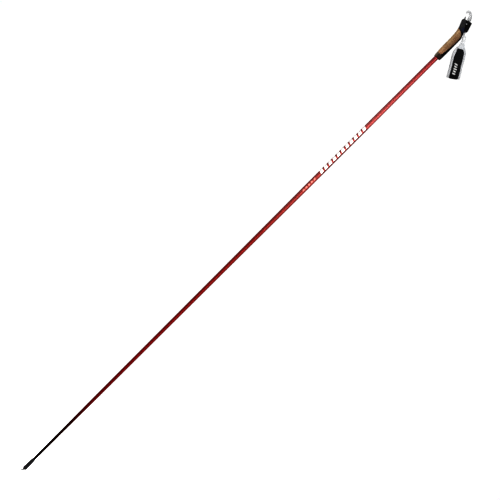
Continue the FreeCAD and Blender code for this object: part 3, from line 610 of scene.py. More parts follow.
M_SHAFT = mat_shaft()
M_FOAM = mat_plain("foam_plug", (196, 188, 168), 0.9, 0.2, 2.5, 0.5)
M_GLUE = mat_plain("hot_melt", (206, 188, 140), 0.45, 0.5, 1.0, 0.2, 0.85)
M_FERRULE = mat_ferrule()
M_CARBIDE = mat_carbide()
M_CORE = mat_core()
M_HOUSING = mat_housing()
M_CORK = mat_cork()
M_COLLAR = mat_collar()
M_PIN = mat_pin()
M_WEDGE = mat_wedge()
M_WEB = mat_fabric("woven_tape", (189, 189, 189), (170, 171, 173), "herringbone", 1.0, soil=0.14, bump=0.55)
# the loose end is the same webbing, painted lighter than the tape above to stand in for the light it catches
M_TAIL_PAINTED_LIGHT = mat_fabric("woven_tape_end_painted_light", (240, 240, 240), (222, 223, 224), "herringbone", 1.0, soil=0.1, bump=0.5)
# painted shade: the tape's edge strips get a darker grey than its faces
M_EDGE_SHADE = mat_fabric("tape_edge_painted_shade", (182, 182, 183), (154, 155, 157), "rib", 0.9, soil=0.1, bump=0.5)
M_BAND = mat_fabric("band_cloth", (174, 176, 178), (156, 157, 160), "plain", 1.15, soil=0.14, bump=0.5)
M_BIND = mat_fabric("edge_tape", (166, 166, 167), (136, 137, 140), "rib", 1.2, soil=0.16)
M_LINING = mat_fabric("brushed_lining", (62, 63, 67), (42, 43, 46), "plain", 2.2, rough=0.95, soil=0.2,
                      soil_colour=(104, 102, 98), sheen=0.4)
M_PAD = mat_pad("pad_cover", (5, 5, 6), (15, 15, 16), 0.1, 1.6)
M_PAD_TOP = mat_pad("pad_cover_embossed", (13, 13, 14), (30, 30, 32), 0.12, 1.1)
M_PATCH = mat_fabric("patch_weave", (24, 24, 26), (8, 8, 9), "plain", 0.9, soil=0.1, soil_colour=(52, 52, 60),
                     sheen=0.05)
M_THREAD_L = mat_fabric("light_thread", (214, 214, 212), (168, 168, 166), "rib", 0.5, soil=0.1, bump=0.4)
M_THREAD_D = mat_fabric("dark_thread", (34, 34, 36), (14, 14, 16), "rib", 0.5, soil=0.1, bump=0.4,
                        soil_colour=(60, 60, 60))
M_BARS = mat_fabric("satin_thread", (196, 196, 194), (138, 138, 137), "rib", 0.42, soil=0.3, bump=0.5,
                    soil_colour=(96, 94, 88))


# ---------------------------------------------------------------------------
# CAD nodes that stay: materials, and softened edges on the mouldings
# ---------------------------------------------------------------------------
CAD_LOOK = {
    "shaft_tube": (M_SHAFT, 0.0), "shaft_foot_plug": (M_FOAM, 0.0), "shaft_top_plug": (M_FOAM, 0.0),
    "ferrule_adhesive": (M_GLUE, 0.0), "grip_adhesive": (M_GLUE, 0.0),
    "tip_ferrule": (M_FERRULE, 0.0), "tip_spike": (M_CARBIDE, 0.10), "grip_core": (M_CORE, 0.35),
    "cork_shell": (M_CORK, 0.0), "end_collar": (M_COLLAR, 0.0), "strap_housing": (M_HOUSING, 0.35),
    "wedge_pin": (M_PIN, 0.0), "strap_wedge": (M_WEDGE, 0.25)}
for name, (mat, bevel) in CAD_LOOK.items():
    o = NODES[name]
    o.material_slots[0].material = mat
    if bevel > 0:
        w = o.modifiers.new("join", "WELD")
        w.merge_threshold = 1e-6
        b = o.modifiers.new("soft_edge", "BEVEL")
        b.width = bevel * 0.001
        b.segments = 3
        b.limit_method = "ANGLE"
        b.angle_limit = math.radians(32)
        b.use_clamp_overlap = True
        wn = o.modifiers.new("even", "WEIGHTED_NORMAL")
        wn.keep_sharp = False
        wn.weight = 60


# ---------------------------------------------------------------------------
# webbing: two layers of tape, split where they pass from one body to the next
# ---------------------------------------------------------------------------
HALF_GAP = 0.06
TAPE_T = 1.6


def tape_section(width, thick, k=16, e=4):
    """(a, b) points round a woven tape: flat faces and rounded selvedges; tape_rings makes the selvedges slightly
    proud.
    """
    r = thick / 2.0
    a_flat = np.linspace(-(width / 2 - r), width / 2 - r, k)
    top = [(a, r) for a in a_flat]
    right = [(width / 2 - r + r * math.sin(t), r * math.cos(t)) for t in np.linspace(0, math.pi, e + 2)[1:-1]]
    bot = [(a, -r) for a in a_flat[::-1]]
    left = [(-(width / 2 - r) - r * math.sin(t), -r * math.cos(t)) for t in np.linspace(0, math.pi, e + 2)[1:-1]]
    return np.array(top + right + bot + left)


# strips marked here take the darker edge grey, which is painted shade
SELVEDGE = np.zeros(40, int)                   # which strips round a tape_section are edge yarn
SELVEDGE[[0, 1, 13, 14, 15, 16, 17, 18, 19, 20, 21, 33, 34, 35, 36, 37, 38, 39]] = 1
NEAR_EDGE = np.array([1] * 3 + [0] * 29 + [1] * 8)


def tape_rings(centre, across, thick_dir, width, sign, v0=0.0, thick=TAPE_T, offs=None, end_taper=None):
    """Rings for one layer of tape along a path of frames."""
    rings, uvs = [], []
    d = np.concatenate([[0], np.cumsum(np.linalg.norm(np.diff(centre, axis=0), axis=1))]) + v0
    for i in range(len(centre)):
        t = thick if np.isscalar(thick) else thick[i]
        if end_taper is not None:
            t = t * end_taper[i]
        sec = tape_section(width[i], t)
        a, b = sec[:, 0], sec[:, 1]
        edge = np.abs(a) / (width[i] / 2)
        bead = 0.07 * np.exp(-((edge - 0.93) / 0.06) ** 2)
        flat = np.clip((0.985 - edge) / 0.05, 0, 1)
        rib = 0.5 + 0.5 * np.cos(2 * math.pi * (d[i] / 1.3 + np.abs(a) * 0.42))
        yarn = 0.5 + 0.5 * np.cos(2 * math.pi * a / 1.05)
        relief = (0.045 * rib + 0.02 * yarn) * flat - 0.05
        bb = b + np.sign(b) * (bead + relief) * (np.abs(b) > t * 0.3)
        mid = sign * (HALF_GAP + thick_value(thick, i) / 2.0)
        o = 0.0 if offs is None else offs[i]
        p = centre[i] + np.outer(a, across[i]) + np.outer(bb + mid - o, thick_dir[i])
        rings.append(p)
        seg = np.linalg.norm(np.diff(np.vstack([sec, sec[:1]]), axis=0), axis=1)
        uvs.append(np.stack([np.concatenate([[0], np.cumsum(seg)[:-1]]), np.full(len(sec), d[i])], -1))
    return np.array(rings), np.array(uvs)


def thick_value(thick, i):
    return thick if np.isscalar(thick) else thick[i]


def frames_along(pts, twist):
    """Tangent, across and thickness directions along a path in the XZ plane."""
    t = np.gradient(pts, axis=0)
    t = t / np.linalg.norm(t, axis=1)[:, None]
    side = np.stack([-t[:, 2], np.zeros(len(t)), t[:, 0]], -1)
    r = np.radians(twist)[:, None]
    across = Y[None, :] * np.cos(r) + side * np.sin(r)
    thick = side * np.cos(r) - Y[None, :] * np.sin(r)
    return t, across, thick


def resample(pts, cols, step):
    pts = np.asarray(pts, float)
    t = np.concatenate([[0], np.cumsum(np.linalg.norm(np.diff(pts, axis=0), axis=1))])
    n = max(int(round(t[-1] / step)), 4)
    tq = np.linspace(0, t[-1], n + 1)
    out = cubic(t, np.hstack([pts, np.asarray(cols, float)]), tq)
    return out[:, :3], out[:, 3:]


TOP_H = 12.0                      # the layers are divided here, hidden in the slot
stations = []
for h in (TOP_H, 6.0, 0.0, -3.6):
    q = hp(WEB_MID_P, h)
    stations.append((q[0], q[2], 0.0, 14.0))
stations.append((P_SWING[0], P_SWING[2], 0.5, 14.0))
for x, z, tw, w in [(9.75, 1724.2, 5, 13.8), (12.2, 1721.2, 27, 12.5), (15.9, 1717.6, 58, 10.3),
                    (18.7, 1713.6, 78, 9.6), (21.0, 1709.5, 88, 9.8)]:
    stations.append((x, z, tw, w))
for s, w in ((FLOP_S - 2.0, 10.3), (FLOP_S, 10.4), (FLOP_S + 3.5, 10.4), (FLOP_S + 7.6, 10.3)):
    q = LOOP_O + s * D_LOOP
    stations.append((q[0], q[2], 90.0, w))
st = np.array(stations)
path, cols = resample(np.stack([st[:, 0], np.zeros(len(st)), st[:, 1]], -1), st[:, 2:], 0.26)
tan, across, thick_dir = frames_along(path, cols[:, 0])
width = cols[:, 1]
join = int(np.argmin(np.linalg.norm(path - np.array([15.9, 0, 1717.6]), axis=1)))
for sign, word in ((-1, "front"), (1, "rear")):
    rings, uvs = tape_rings(path, across, thick_dir, width, sign)
    b = Build()
    b.tube(rings[:join + 1], uvs[:join + 1], face_mat=np.tile(SELVEDGE, (join, 1)))
    o = b.make("tape_%s_upper" % word, [M_WEB, M_EDGE_SHADE])
    outward(o)
    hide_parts("webbing_%s_clamped" % word, "webbing_%s_link" % word)
    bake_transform(o)
    b = Build()
    b.tube(rings[join:], uvs[join:], face_mat=np.tile(SELVEDGE, (len(rings) - join - 1, 1)))
    o = b.make("tape_%s_lower" % word, [M_WEB, M_EDGE_SHADE])
    outward(o)
    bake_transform(o)

# loose tail
TAIL = [(-6.3, 1763.0), (-8.1, 1767.4), (-10.9, 1771.9), (-16.6, 1777.2), (-23.2, 1780.0),
        (-27.9, 1777.7), (-29.1, 1773.7), (-27.7, 1771.0)]
tail_st = [tuple(hp(WEB_MID_P, h)[[0, 2]]) for h in (TOP_H, 18.0, 24.0)] + [(P_TAIL[0], P_TAIL[2])] + TAIL
bow = [0, 0, 0, 0.0, 1.2, 1.7, 1.0, 0.2, 0.0, 0.0, 0.0, 0.0]
ts = np.array(tail_st)
lay = [0, 0, 0, 5.0, 22.0, 28.0, 26.0, 19.0, 12.0, 9.0, 8.0, 8.0]      # how far the tape has turned, degrees
tpath, tcols = resample(np.stack([ts[:, 0], np.zeros(len(ts)), ts[:, 1]], -1),
                        np.stack([np.array(bow, float), np.array(lay, float)], -1), 0.26)
ttan = np.gradient(tpath, axis=0)
ttan = ttan / np.linalg.norm(ttan, axis=1)[:, None]
outer_dir = np.stack([ttan[:, 2], np.zeros(len(ttan)), -ttan[:, 0]], -1)      # outside of the curl
turn = np.radians(np.clip(tcols[:, 1], 0, None))[:, None]
tpath = tpath - outer_dir * (6.2 * np.clip(np.sin(turn) - math.sin(math.radians(5.0)), 0.0, None))
tthick = outer_dir * np.cos(turn) + Y[None, :] * np.sin(turn)
tacross = Y[None, :] * np.cos(turn) - outer_dir * np.sin(turn)
d_end = np.concatenate([[0], np.cumsum(np.linalg.norm(np.diff(tpath, axis=0), axis=1))])
left_over = d_end[-1] - d_end
taper = np.sqrt(np.clip(1 - (1 - np.clip(left_over / 0.7, 0, 1)) ** 2, 0.03, 1))
for sign, word in ((-1, "front"), (1, "rear")):
    offs = np.clip(tcols[:, 0], 0, None) if sign < 0 else None
    rings, uvs = tape_rings(tpath, tacross, tthick, np.full(len(tpath), 14.0), sign, offs=offs, end_taper=taper)
    b = Build()
    b.tube(rings, uvs, face_mat=np.tile(SELVEDGE * NEAR_EDGE, (len(rings) - 1, 1)))
    o = b.make("tape_%s_tail" % word, [M_TAIL_PAINTED_LIGHT, M_EDGE_SHADE])
    outward(o)
    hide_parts("webbing_%s_tail" % word)
    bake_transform(o)


# ---------------------------------------------------------------------------
# hand loop
# ---------------------------------------------------------------------------
HALF = [(28.4, 2.85), (32.0, 3.0), (36.0, 3.4), (40.0, 4.3), (52.0, 7.0), (66.0, 9.3), (82.0, 10.6),
        (98.0, 10.8), (110.0, 9.7), (118.5, 7.4), (123.6, 4.2), (125.4, 0.0)]
full = [(s, -y) for s, y in HALF] + [(s, y) for s, y in HALF[-2::-1]]
fa = np.array(full)
ft = np.concatenate([[0], np.cumsum(np.linalg.norm(np.diff(fa, axis=0), axis=1))])
fq = np.linspace(0, ft[-1], 4001)
dense = cubic(ft, fa, fq)
dt = np.gradient(dense, axis=0)
dt = dt / np.linalg.norm(dt, axis=1)[:, None]
ell_d = np.concatenate([[0], np.cumsum(np.linalg.norm(np.diff(dense, axis=0), axis=1))])
ell_d -= ell_d[-1] / 2.0
L_END = ell_d[-1]


def s_of(ell):
    return np.interp(ell, ell_d, dense[:, 0])


def ell_of(s, near=True):
    """Arc position on the -Y side (near) or +Y side where the loop passes s."""
    half = len(ell_d) // 2
    if near:
        return float(np.interp(s, dense[:half, 0], ell_d[:half]))
    return float(np.interp(s, dense[half:, 0][::-1], ell_d[half:][::-1]))


def loop_map(n, ell, off):
    """(across, along, proud of the band's outside) to the row frame, mm."""
    n, ell, off = np.broadcast_arrays(np.asarray(n, float), np.asarray(ell, float), np.asarray(off, float))
    s = np.interp(ell, ell_d, dense[:, 0])
    y = np.interp(ell, ell_d, dense[:, 1])
    ts_, ty_ = np.interp(ell, ell_d, dt[:, 0]), np.interp(ell, ell_d, dt[:, 1])
    ln = np.hypot(ts_, ty_)
    ts_, ty_ = ts_ / ln, ty_ / ln
    s = s + off * ty_
    y = y - off * ts_
    # hanging shape: lower end skewed, edges drawn in a little, a slow wave along the sides
    low = smooth01((s - 62.0) / 58.0)
    s = s - 0.1 * n * low + 2.3 * smooth01((s - 50.0) / 75.0)
    c = smooth01((s - 46.0) / 24.0)
    y = y * (1.0 - 0.11 * (n / 18.0) ** 2 * c)
    y = y + 0.5 * np.sin(0.085 * s + 0.055 * n + 0.9) * c * (1 - 0.4 * low)
    nn = n + 0.35 * np.sin(0.07 * s + 1.3) * c + 1.4 * smooth01((s - 60.0) / 66.0)
    return LOOP_O + nn[..., None] * N_LOOP + s[..., None] * D_LOOP + y[..., None] * Y


LO_S = [25.5, 30.0, 37.5, 47.0, 55.0, 63.0, 90.0, 140.0]
LO_N = [-4.9, -5.6, -9.2, -14.6, -17.6, -18.4, -18.4, -18.4]
HI_S = [25.5, 33.0, 42.0, 47.0, 54.0, 64.0, 72.0, 80.0, 90.0, 97.0, 104.0, 113.0, 122.0, 140.0]
HI_N = [5.6, 7.6, 10.6, 13.4, 16.0, 16.8, 16.5, 15.9, 14.9, 15.2, 15.8, 15.8, 16.6, 16.8]


def soft_table(xs, ys):
    """Dense table of a polyline with its corners eased."""
    q = np.linspace(xs[0], xs[-1], 1200)
    v = np.interp(q, xs, ys)
    k = np.hanning(61)
    k /= k.sum()
    pad = np.concatenate([np.full(30, v[0]) + (q[0] - q[30]) * 0, v, np.full(30, v[-1])])
    return q, np.convolve(pad, k, "valid")


lo_q, lo_v = soft_table(LO_S, LO_N)
hi_q, hi_v = soft_table(HI_S, HI_N)


def band_lo(s):
    return np.interp(s, lo_q, lo_v)


def band_hi(s):
    return np.interp(s, hi_q, hi_v)


def band_thick(s):
    return 0.9 + 0.85 * smooth01((s - 34.0) / 16.0)


def ends(ell, run=0.8, floor=0.15):
    """Rounds a sheet's thickness off at its two ends."""
    left = L_END - np.abs(ell)
    return np.sqrt(np.clip(1 - (1 - np.clip(left / run, 0, 1)) ** 2, floor ** 2, 1))


# band cloth
b = Build()
ells = np.linspace(-L_END, L_END, 420)
rings, uvs = [], []
K = 34
for ell in ells:
    s = float(s_of(ell))
    lo_n, hi_n, t = float(band_lo(s)), float(band_hi(s)), float(band_thick(s))
    r = t / 2
    tt = t * float(ends(ell))
    a = np.linspace(lo_n + r, hi_n - r, K)
    rib = 0.03 * np.cos(2 * math.pi * ell / 1.9)
    arc = np.linspace(0, math.pi, 6)[1:-1]
    n_ = np.concatenate([a, hi_n - r + r * np.sin(arc), a[::-1], lo_n + r - r * np.sin(arc)])
    mid = -t / 2
    o_ = np.concatenate([np.full(K, tt / 2) + rib, tt / 2 * np.cos(arc), np.full(K, -tt / 2) - rib,
                         -tt / 2 * np.cos(arc)]) + mid
    rings.append(loop_map(n_, ell, o_))
    uvs.append(np.stack([np.concatenate([a, hi_n + np.arange(4), 40 + a[::-1], lo_n - np.arange(4)]),
                         np.full(len(n_), ell)], -1))
b.tube(rings, uvs)
band = b.make("band_cloth", [M_BAND])
outward(band)
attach(band, "hand_loop")
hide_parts("band_outer")

# edge bindings: a folded ribbed tape gripping each edge of the band
BIND = np.array([(4.3, 0.06), (4.3, 0.34), (4.15, 0.52), (3.6, 0.58), (2.8, 0.6), (1.8, 0.6), (0.9, 0.58),
                 (0.2, 0.52), (-0.35, 0.34), (-0.68, 0.02), (-0.84, -0.42), (-0.88, -0.9), (-0.84, -1.4),
                 (-0.68, -1.84), (-0.35, -2.16), (0.2, -2.34), (0.9, -2.4), (1.8, -2.42), (2.8, -2.42),
                 (3.6, -2.4), (4.15, -2.34), (4.3, -2.16), (4.3, -1.86), (2.2, -1.82), (0.6, -1.8),
                 (0.02, -1.5), (-0.12, -0.9), (0.02, -0.3), (0.6, 0.02), (2.2, 0.04)])
LB = abs(ell_of(40.0))
for edge, word in ((band_lo, "front"), (band_hi, "rear")):
    inward = 1.0 if word == "front" else -1.0
    b = Build()
    rings, uvs = [], []
    for ell in np.linspace(-LB, LB, 520):
        s = float(s_of(ell))
        e_n = float(edge(s))
        t = float(band_thick(s))
        rib = 0.07 * math.cos(2 * math.pi * ell / 1.55)
        left = LB - abs(ell)
        fade = 0.25 + 0.75 * min(left / 1.2, 1.0)
        d_, o_ = BIND[:, 0].copy(), BIND[:, 1].copy()
        o_ = np.where(o_ < -0.9, -0.9 + (o_ + 0.9) * (t - 0.9 + 0.01) / 0.9 if t < 1.8 else o_, o_)
        outer = np.zeros(len(d_), bool)
        outer[2:21] = True
        grow = np.where(outer, rib, 0.0)
        mid_o = -t / 2
        dirn = np.stack([np.where((o_ > 0.3) | (o_ < -t - 0.3), 0.0, -1.0), np.sign(o_ - mid_o) * (np.abs(o_ - mid_o) > 0.9)], -1)
        d_ = d_ + grow * dirn[:, 0]
        o_ = o_ + grow * dirn[:, 1]
        o_ = np.where(o_ > 0, o_ * fade, np.where(o_ < -t, -t + (o_ + t) * fade, o_))
        n_ = e_n + inward * d_
        rings.append(loop_map(n_, ell, o_))
        uvs.append(np.stack([np.arange(len(d_)) * 0.5, np.full(len(d_), ell)], -1))
    b.tube(rings, uvs)
    o = b.make("edge_tape_%s" % word, [M_BIND])
    outward(o)
    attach(o, "hand_loop")
    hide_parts("binding_%s_edge" % word)


# ---------------------------------------------------------------------------
# padding: a cloth sheet is pressed up from behind between its seams, and the
# height it takes is wrapped on to the loop
# ---------------------------------------------------------------------------
def puffed(name, us, vs, held, force, cap, frames=16, k=0.006):
    """Heights (mm) a flat cloth grid takes under pressure; held is a boolean grid."""
    nu, nv = len(us), len(vs)
    me = bpy.data.meshes.new(name)
    uu, vv = np.meshgrid(us, vs, indexing="ij")
    co = np.stack([uu * k, vv * k, np.zeros_like(uu)], -1).reshape(-1, 3)
    i, j = np.meshgrid(np.arange(nu - 1), np.arange(nv - 1), indexing="ij")
    f = np.stack([i * nv + j, (i + 1) * nv + j, (i + 1) * nv + j + 1, i * nv + j + 1], -1).reshape(-1, 4)
    me.from_pydata(co.tolist(), [], f.tolist())
    me.update()
    o = bpy.data.objects.new(name, me)
    bpy.context.scene.collection.objects.link(o)
    g = o.vertex_groups.new(name="held")
    g.add([int(q) for q in np.nonzero(held.reshape(-1))[0]], 1.0, "REPLACE")
    c = o.modifiers.new("puff", "CLOTH")
    st_ = c.settings
    st_.quality = 6
    st_.mass = 0.3
    st_.tension_stiffness = 12
    st_.compression_stiffness = 12
    st_.shear_stiffness = 5
    st_.bending_stiffness = 0.4
    st_.shrink_min = -0.07
    st_.vertex_group_mass = "held"
    st_.pin_stiffness = 1.0
    st_.use_pressure = True
    st_.uniform_pressure_force = force
    st_.effector_weights.gravity = 0.0
    c.collision_settings.use_collision = False
    c.collision_settings.use_self_collision = False
    c.point_cache.frame_start = 1
    c.point_cache.frame_end = frames + 2
    sc = bpy.context.scene
    for fr in range(1, frames + 1):
        sc.frame_set(fr)
    dg = bpy.context.evaluated_depsgraph_get()
    e = o.evaluated_get(dg)
    out = np.empty(len(e.data.vertices) * 3, np.float32)
    e.data.vertices.foreach_get("co", out)
    z = out.reshape(-1, 3)[:, 2].astype(float).reshape(nu, nv) / k
    bpy.data.objects.remove(o)
    bpy.data.meshes.remove(me)
    sc.frame_set(1)
    z = np.nan_to_num(z)
    top = np.max(np.abs(z))
    if abs(z.min()) > z.max():
        z = -z
    z = np.clip(z, 0, None)
    return cap * np.tanh(z / max(cap, 1e-6))


def bilinear(grid, us, vs, u, v):
    fi = np.clip((u - us[0]) / (us[-1] - us[0]) * (len(us) - 1), 0, len(us) - 1.001)
    fj = np.clip((v - vs[0]) / (vs[-1] - vs[0]) * (len(vs) - 1), 0, len(vs) - 1.001)
    i, j = fi.astype(int), fj.astype(int)
    a, c = fi - i, fj - j
    a, c = smooth01(a) * 0.5 + a * 0.5, smooth01(c) * 0.5 + c * 0.5
    return (grid[i, j] * (1 - a) * (1 - c) + grid[i + 1, j] * a * (1 - c)
            + grid[i, j + 1] * (1 - a) * c + grid[i + 1, j + 1] * a * c)


PAD_LO_S = [44.0, 45.4, 50.0, 55.0, 62.0, 70.0, 84.0, 140.0]
PAD_LO_N = [-9.4, -10.0, -9.9, -10.5, -11.9, -12.9, -13.3, -13.0]
PAD_HI_S = [44.0, 45.6, 47.4, 49.4, 52.0, 55.5, 70.0, 84.0, 92.0, 99.0, 110.0, 140.0]
PAD_HI_N = [4.4, 6.0, 7.7, 9.0, 10.2, 11.2, 11.6, 11.0, 10.9, 11.6, 11.8, 11.8]
plo_q, plo_v = soft_table(PAD_LO_S, PAD_LO_N)
phi_q, phi_v = soft_table(PAD_HI_S, PAD_HI_N)
LP = abs(ell_of(44.8))
SEAM_S = 82.5
us = np.linspace(-LP, LP, 141)
vs = np.linspace(-1.0, 1.0, 19)
gu, gv = np.meshgrid(us, vs, indexing="ij")
gs = s_of(gu)
g_lo, g_hi = np.interp(gs, plo_q, plo_v), np.interp(gs, phi_q, phi_v)
half_w = (g_hi - g_lo) / 2
inset = (1 - np.abs(gv)) * half_w
end_in = LP - np.abs(gu)
patch_n = (g_lo + g_hi) / 2 + gv * half_w
in_patch = (gu < 0) & (gs > 84.0) & (gs < 117.5) & (patch_n > -11.6) & (patch_n < 10.4)
held = (inset < 2.6) | (end_in < 2.4) | (np.abs(gs - SEAM_S) < 0.75) | in_patch
puff = puffed("pad_sim", us, np.linspace(-12.4, 12.4, len(vs)), held, 5.0, 0.95)

b = Build()
ells = np.linspace(-LP, LP, 430)
KP = 52
rings, uvs, fm = [], [], []
for ell in ells:
    s = float(s_of(ell))
    n_lo, n_hi = float(np.interp(s, plo_q, plo_v)), float(np.interp(s, phi_q, phi_v))
    hw, mid_n = (n_hi - n_lo) / 2, (n_hi + n_lo) / 2
    v = np.linspace(-1, 1, KP)
    n_ = mid_n + v * hw
    edge_in = (1 - np.abs(v)) * hw
    end_in = LP - abs(ell)
    near = np.minimum(edge_in, end_in)
    prof = 1.3 * np.sqrt(np.clip(1 - (1 - np.clip(near / 1.3, 0, 1)) ** 2, 0.02, 1))
    h = prof + bilinear(puff, us, vs, np.full(KP, ell), v)
    groove = np.exp(-((near - 2.1) / 0.42) ** 2)
    if SEAM_S - 4 < s < SEAM_S + 4:
        cross = np.exp(-((s - SEAM_S) / 0.5) ** 2)
        groove = np.maximum(groove, cross * (near > 1.0))
    h = h - 0.42 * groove
    flat = (ell < 0) & (84.6 < s < 117.0)
    if flat:
        inside = smooth01((np.minimum(n_ + 12.0, 10.8 - n_)) / 0.8)
        h = h * (1 - inside) + 1.32 * inside
    top_zone = (s < SEAM_S - 1.0) & (near > 3.0)
    emb = np.cos(math.pi * (n_ + ell) / 1.9) * np.cos(math.pi * (n_ - ell) / 1.9)
    h = h + np.where(top_zone, 0.16 * emb * smooth01((near - 3.0) / 1.0), 0.0)
    nb = 10
    vb = np.linspace(1, -1, nb)
    n_all = np.concatenate([n_, mid_n + vb * (hw - 0.25)])
    o_all = np.concatenate([h + 0.05, np.full(nb, 0.06)])
    rings.append(loop_map(n_all, ell, o_all))
    uvs.append(np.stack([n_all, np.full(len(n_all), ell)], -1))
    fm.append([1 if (s < SEAM_S - 0.6 and q < KP - 1 and min(edge_in[q], end_in) > 2.4) else 0
               for q in range(KP)] + [0] * nb)
fm = np.array(fm)[:-1]
# close rings need as many top as bottom points for the end strips, so cap by hand
b.tube(rings, uvs, caps=False, face_mat=fm)
for ring, uv, flip in ((rings[0], uvs[0], True), (rings[-1], uvs[-1], False)):
    idx = list(range(len(ring)))
    b.add(ring, [tuple(idx[::-1] if flip else idx)], uv)
pad = b.make("palm_cushion", [M_PAD, M_PAD_TOP])
outward(pad)
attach(pad, "hand_loop")
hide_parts("palm_pad")

# lining inside the loop
LL = abs(ell_of(46.0))
lus = np.linspace(-LL, LL, 121)
lvs = np.linspace(-1, 1, 17)
lu, lv = np.meshgrid(lus, lvs, indexing="ij")
ls = s_of(lu)


def lining_half(s):
    return np.minimum(13.4, np.minimum(-band_lo(s), band_hi(s)) - 4.9)


held_l = ((1 - np.abs(lv)) * lining_half(ls) < 1.8) | (LL - np.abs(lu) < 2.0) | (np.abs(ls - 100.0) < 0.8)
puff_l = puffed("lining_sim", lus, np.linspace(-13.4, 13.4, len(lvs)), held_l, 4.0, 0.7, frames=14)
b = Build()
rings, uvs = [], []
KL = 40
for ell in np.linspace(-LL, LL, 330):
    s = float(s_of(ell))
    hw = float(lining_half(s))
    v = np.linspace(-1, 1, KL)
    edge_in = (1 - np.abs(v)) * hw
    near = np.minimum(edge_in, LL - abs(ell))
    prof = 0.75 * np.sqrt(np.clip(1 - (1 - np.clip(near / 0.8, 0, 1)) ** 2, 0.03, 1))
    h = prof + bilinear(puff_l, lus, lvs, np.full(KL, ell), v)
    h = h - 0.3 * np.exp(-((near - 1.5) / 0.4) ** 2)
    t = float(band_thick(s))
    nb = 8
    vb = np.linspace(1, -1, nb)
    n_all = np.concatenate([v * hw, vb * (hw - 0.2)])
    o_all = -t - np.concatenate([h + 0.06, np.full(nb, 0.05)])
    rings.append(loop_map(n_all, ell, o_all))
    uvs.append(np.stack([n_all, np.full(len(n_all), ell)], -1))
b.tube(rings, uvs, caps=False)
for ring, uv, flip in ((rings[0], uvs[0], True), (rings[-1], uvs[-1], False)):
    idx = list(range(len(ring)))
    b.add(ring, [tuple(idx[::-1] if flip else idx)], uv)
lining = b.make("loop_lining", [M_LINING])
outward(lining)
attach(lining, "hand_loop")
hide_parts("band_lining")


# woven patch with a rolled border, sewn on the pad
def slab(b, n_grid, ell_grid, low, high, mat=0):
    """Thin closed slab over a grid (R, C) between two heights."""
    r, c = n_grid.shape
    top = loop_map(n_grid, ell_grid, high)
    bot = loop_map(n_grid, ell_grid, low)
    uv = np.stack([n_grid, ell_grid], -1)
    rings, uvs = [], []
    for i in range(r):
        rings.append(np.vstack([top[i], bot[i][::-1]]))
        uvs.append(np.vstack([uv[i], uv[i][::-1] + (40, 0)]))
    b.tube(rings, uvs, mat=mat)


e0, e1 = ell_of(84.3), ell_of(117.3)
b = Build()
R, C = 110, 74
pn = np.linspace(-11.7, 10.5, C)[None, :] + np.zeros((R, 1))
pe = np.linspace(e0, e1, R)[:, None] + np.zeros((1, C))
dn = np.minimum(pn + 11.7, 10.5 - pn)
de = np.minimum(pe - e0, e1 - pe)
dd = np.minimum(dn, de)
rim = 0.2 * np.exp(-((dd - 0.75) / 0.5) ** 2)
rnd = np.sqrt(np.clip(1 - (1 - np.clip(dd / 0.5, 0, 1)) ** 2, 0.02, 1))
wv = 0.03 * np.cos(2 * math.pi * pn / 1.1) * np.cos(2 * math.pi * pe / 1.1) * (dd > 1.6)
ridge = 0.05 * np.cos(2 * math.pi * (pn + pe) / 0.9) * np.exp(-((dd - 0.75) / 0.6) ** 2)
slab(b, pn, pe, np.full((R, C), 1.4), 1.42 + (0.38 + rim + wv + ridge) * rnd)
patch = b.make("side_patch", [M_PATCH])
outward(patch)
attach(patch, "hand_loop")
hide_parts("woven_patch")

# plain leaning satin-stitch bars on the patch
b = Build()
for i in range(5):
    s_c = 88.2 + i * 6.35
    ec = ell_of(s_c)
    R, C = 14, 40
    v = np.linspace(-1, 1, C)[None, :] + np.zeros((R, 1))
    w = np.linspace(-1, 1, R)[:, None] + np.zeros((1, C))
    long_ = 4.6 if i % 2 == 0 else 4.1
    mn = -2.9 + v * long_
    me_ = ec + w * 2.05 + v * 1.1
    edge = np.minimum((1 - np.abs(v)) * long_, (1 - np.abs(w)) * 2.05)
    rnd = np.sqrt(np.clip(1 - (1 - np.clip(edge / 0.45, 0, 1)) ** 2, 0.03, 1))
    slab(b, mn, me_, np.full((R, C), 1.7), 1.76 + (0.3 + 0.05 * np.cos(2 * math.pi * mn / 0.62)) * rnd)
bars = b.make("patch_bars", [M_BARS])
outward(bars)
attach(bars, "hand_loop")


# ---------------------------------------------------------------------------
# stitching
# ---------------------------------------------------------------------------
def stitch(b, p0, p1, up, r, mat=0):
    """One thread stitch: a low bead whose ends dive into the cloth."""
    p0, p1, up = np.asarray(p0, float), np.asarray(p1, float), unit(up)
    ax = p1 - p0
    ln = np.linalg.norm(ax)
    ax = ax / ln
    sd = unit(np.cross(ax, up))
    up = np.cross(sd, ax)
    rings, uvs = [], []
    for t in np.linspace(0, 1, 6):
        lift = math.sin(math.pi * min(max(t, 0.0), 1.0)) ** 0.6 if 0 < t < 1 else 0.0
        rr = r * (0.25 + 0.75 * lift)
        c = p0 + ax * ln * t + up * (r * (lift * 0.75 - 0.45))
        ang = np.linspace(0, 2 * math.pi, 9)[:-1]
        rings.append(c + np.outer(np.cos(ang) * rr, sd) + np.outer(np.sin(ang) * rr, up))
        uvs.append(np.stack([ang * r, np.full(8, t * ln)], -1))
    b.tube(rings, uvs, mat=mat)


def loop_stitch(b, n0, e0_, n1, e1_, off, r, mat=0, side=1.0):
    p0, p1 = loop_map(n0, e0_, off), loop_map(n1, e1_, off)
    m0, m1 = (n0 + n1) / 2, (e0_ + e1_) / 2
    up = loop_map(m0, m1, off + side) - loop_map(m0, m1, off)
    stitch(b, p0, p1, up, r, mat)


b = Build()
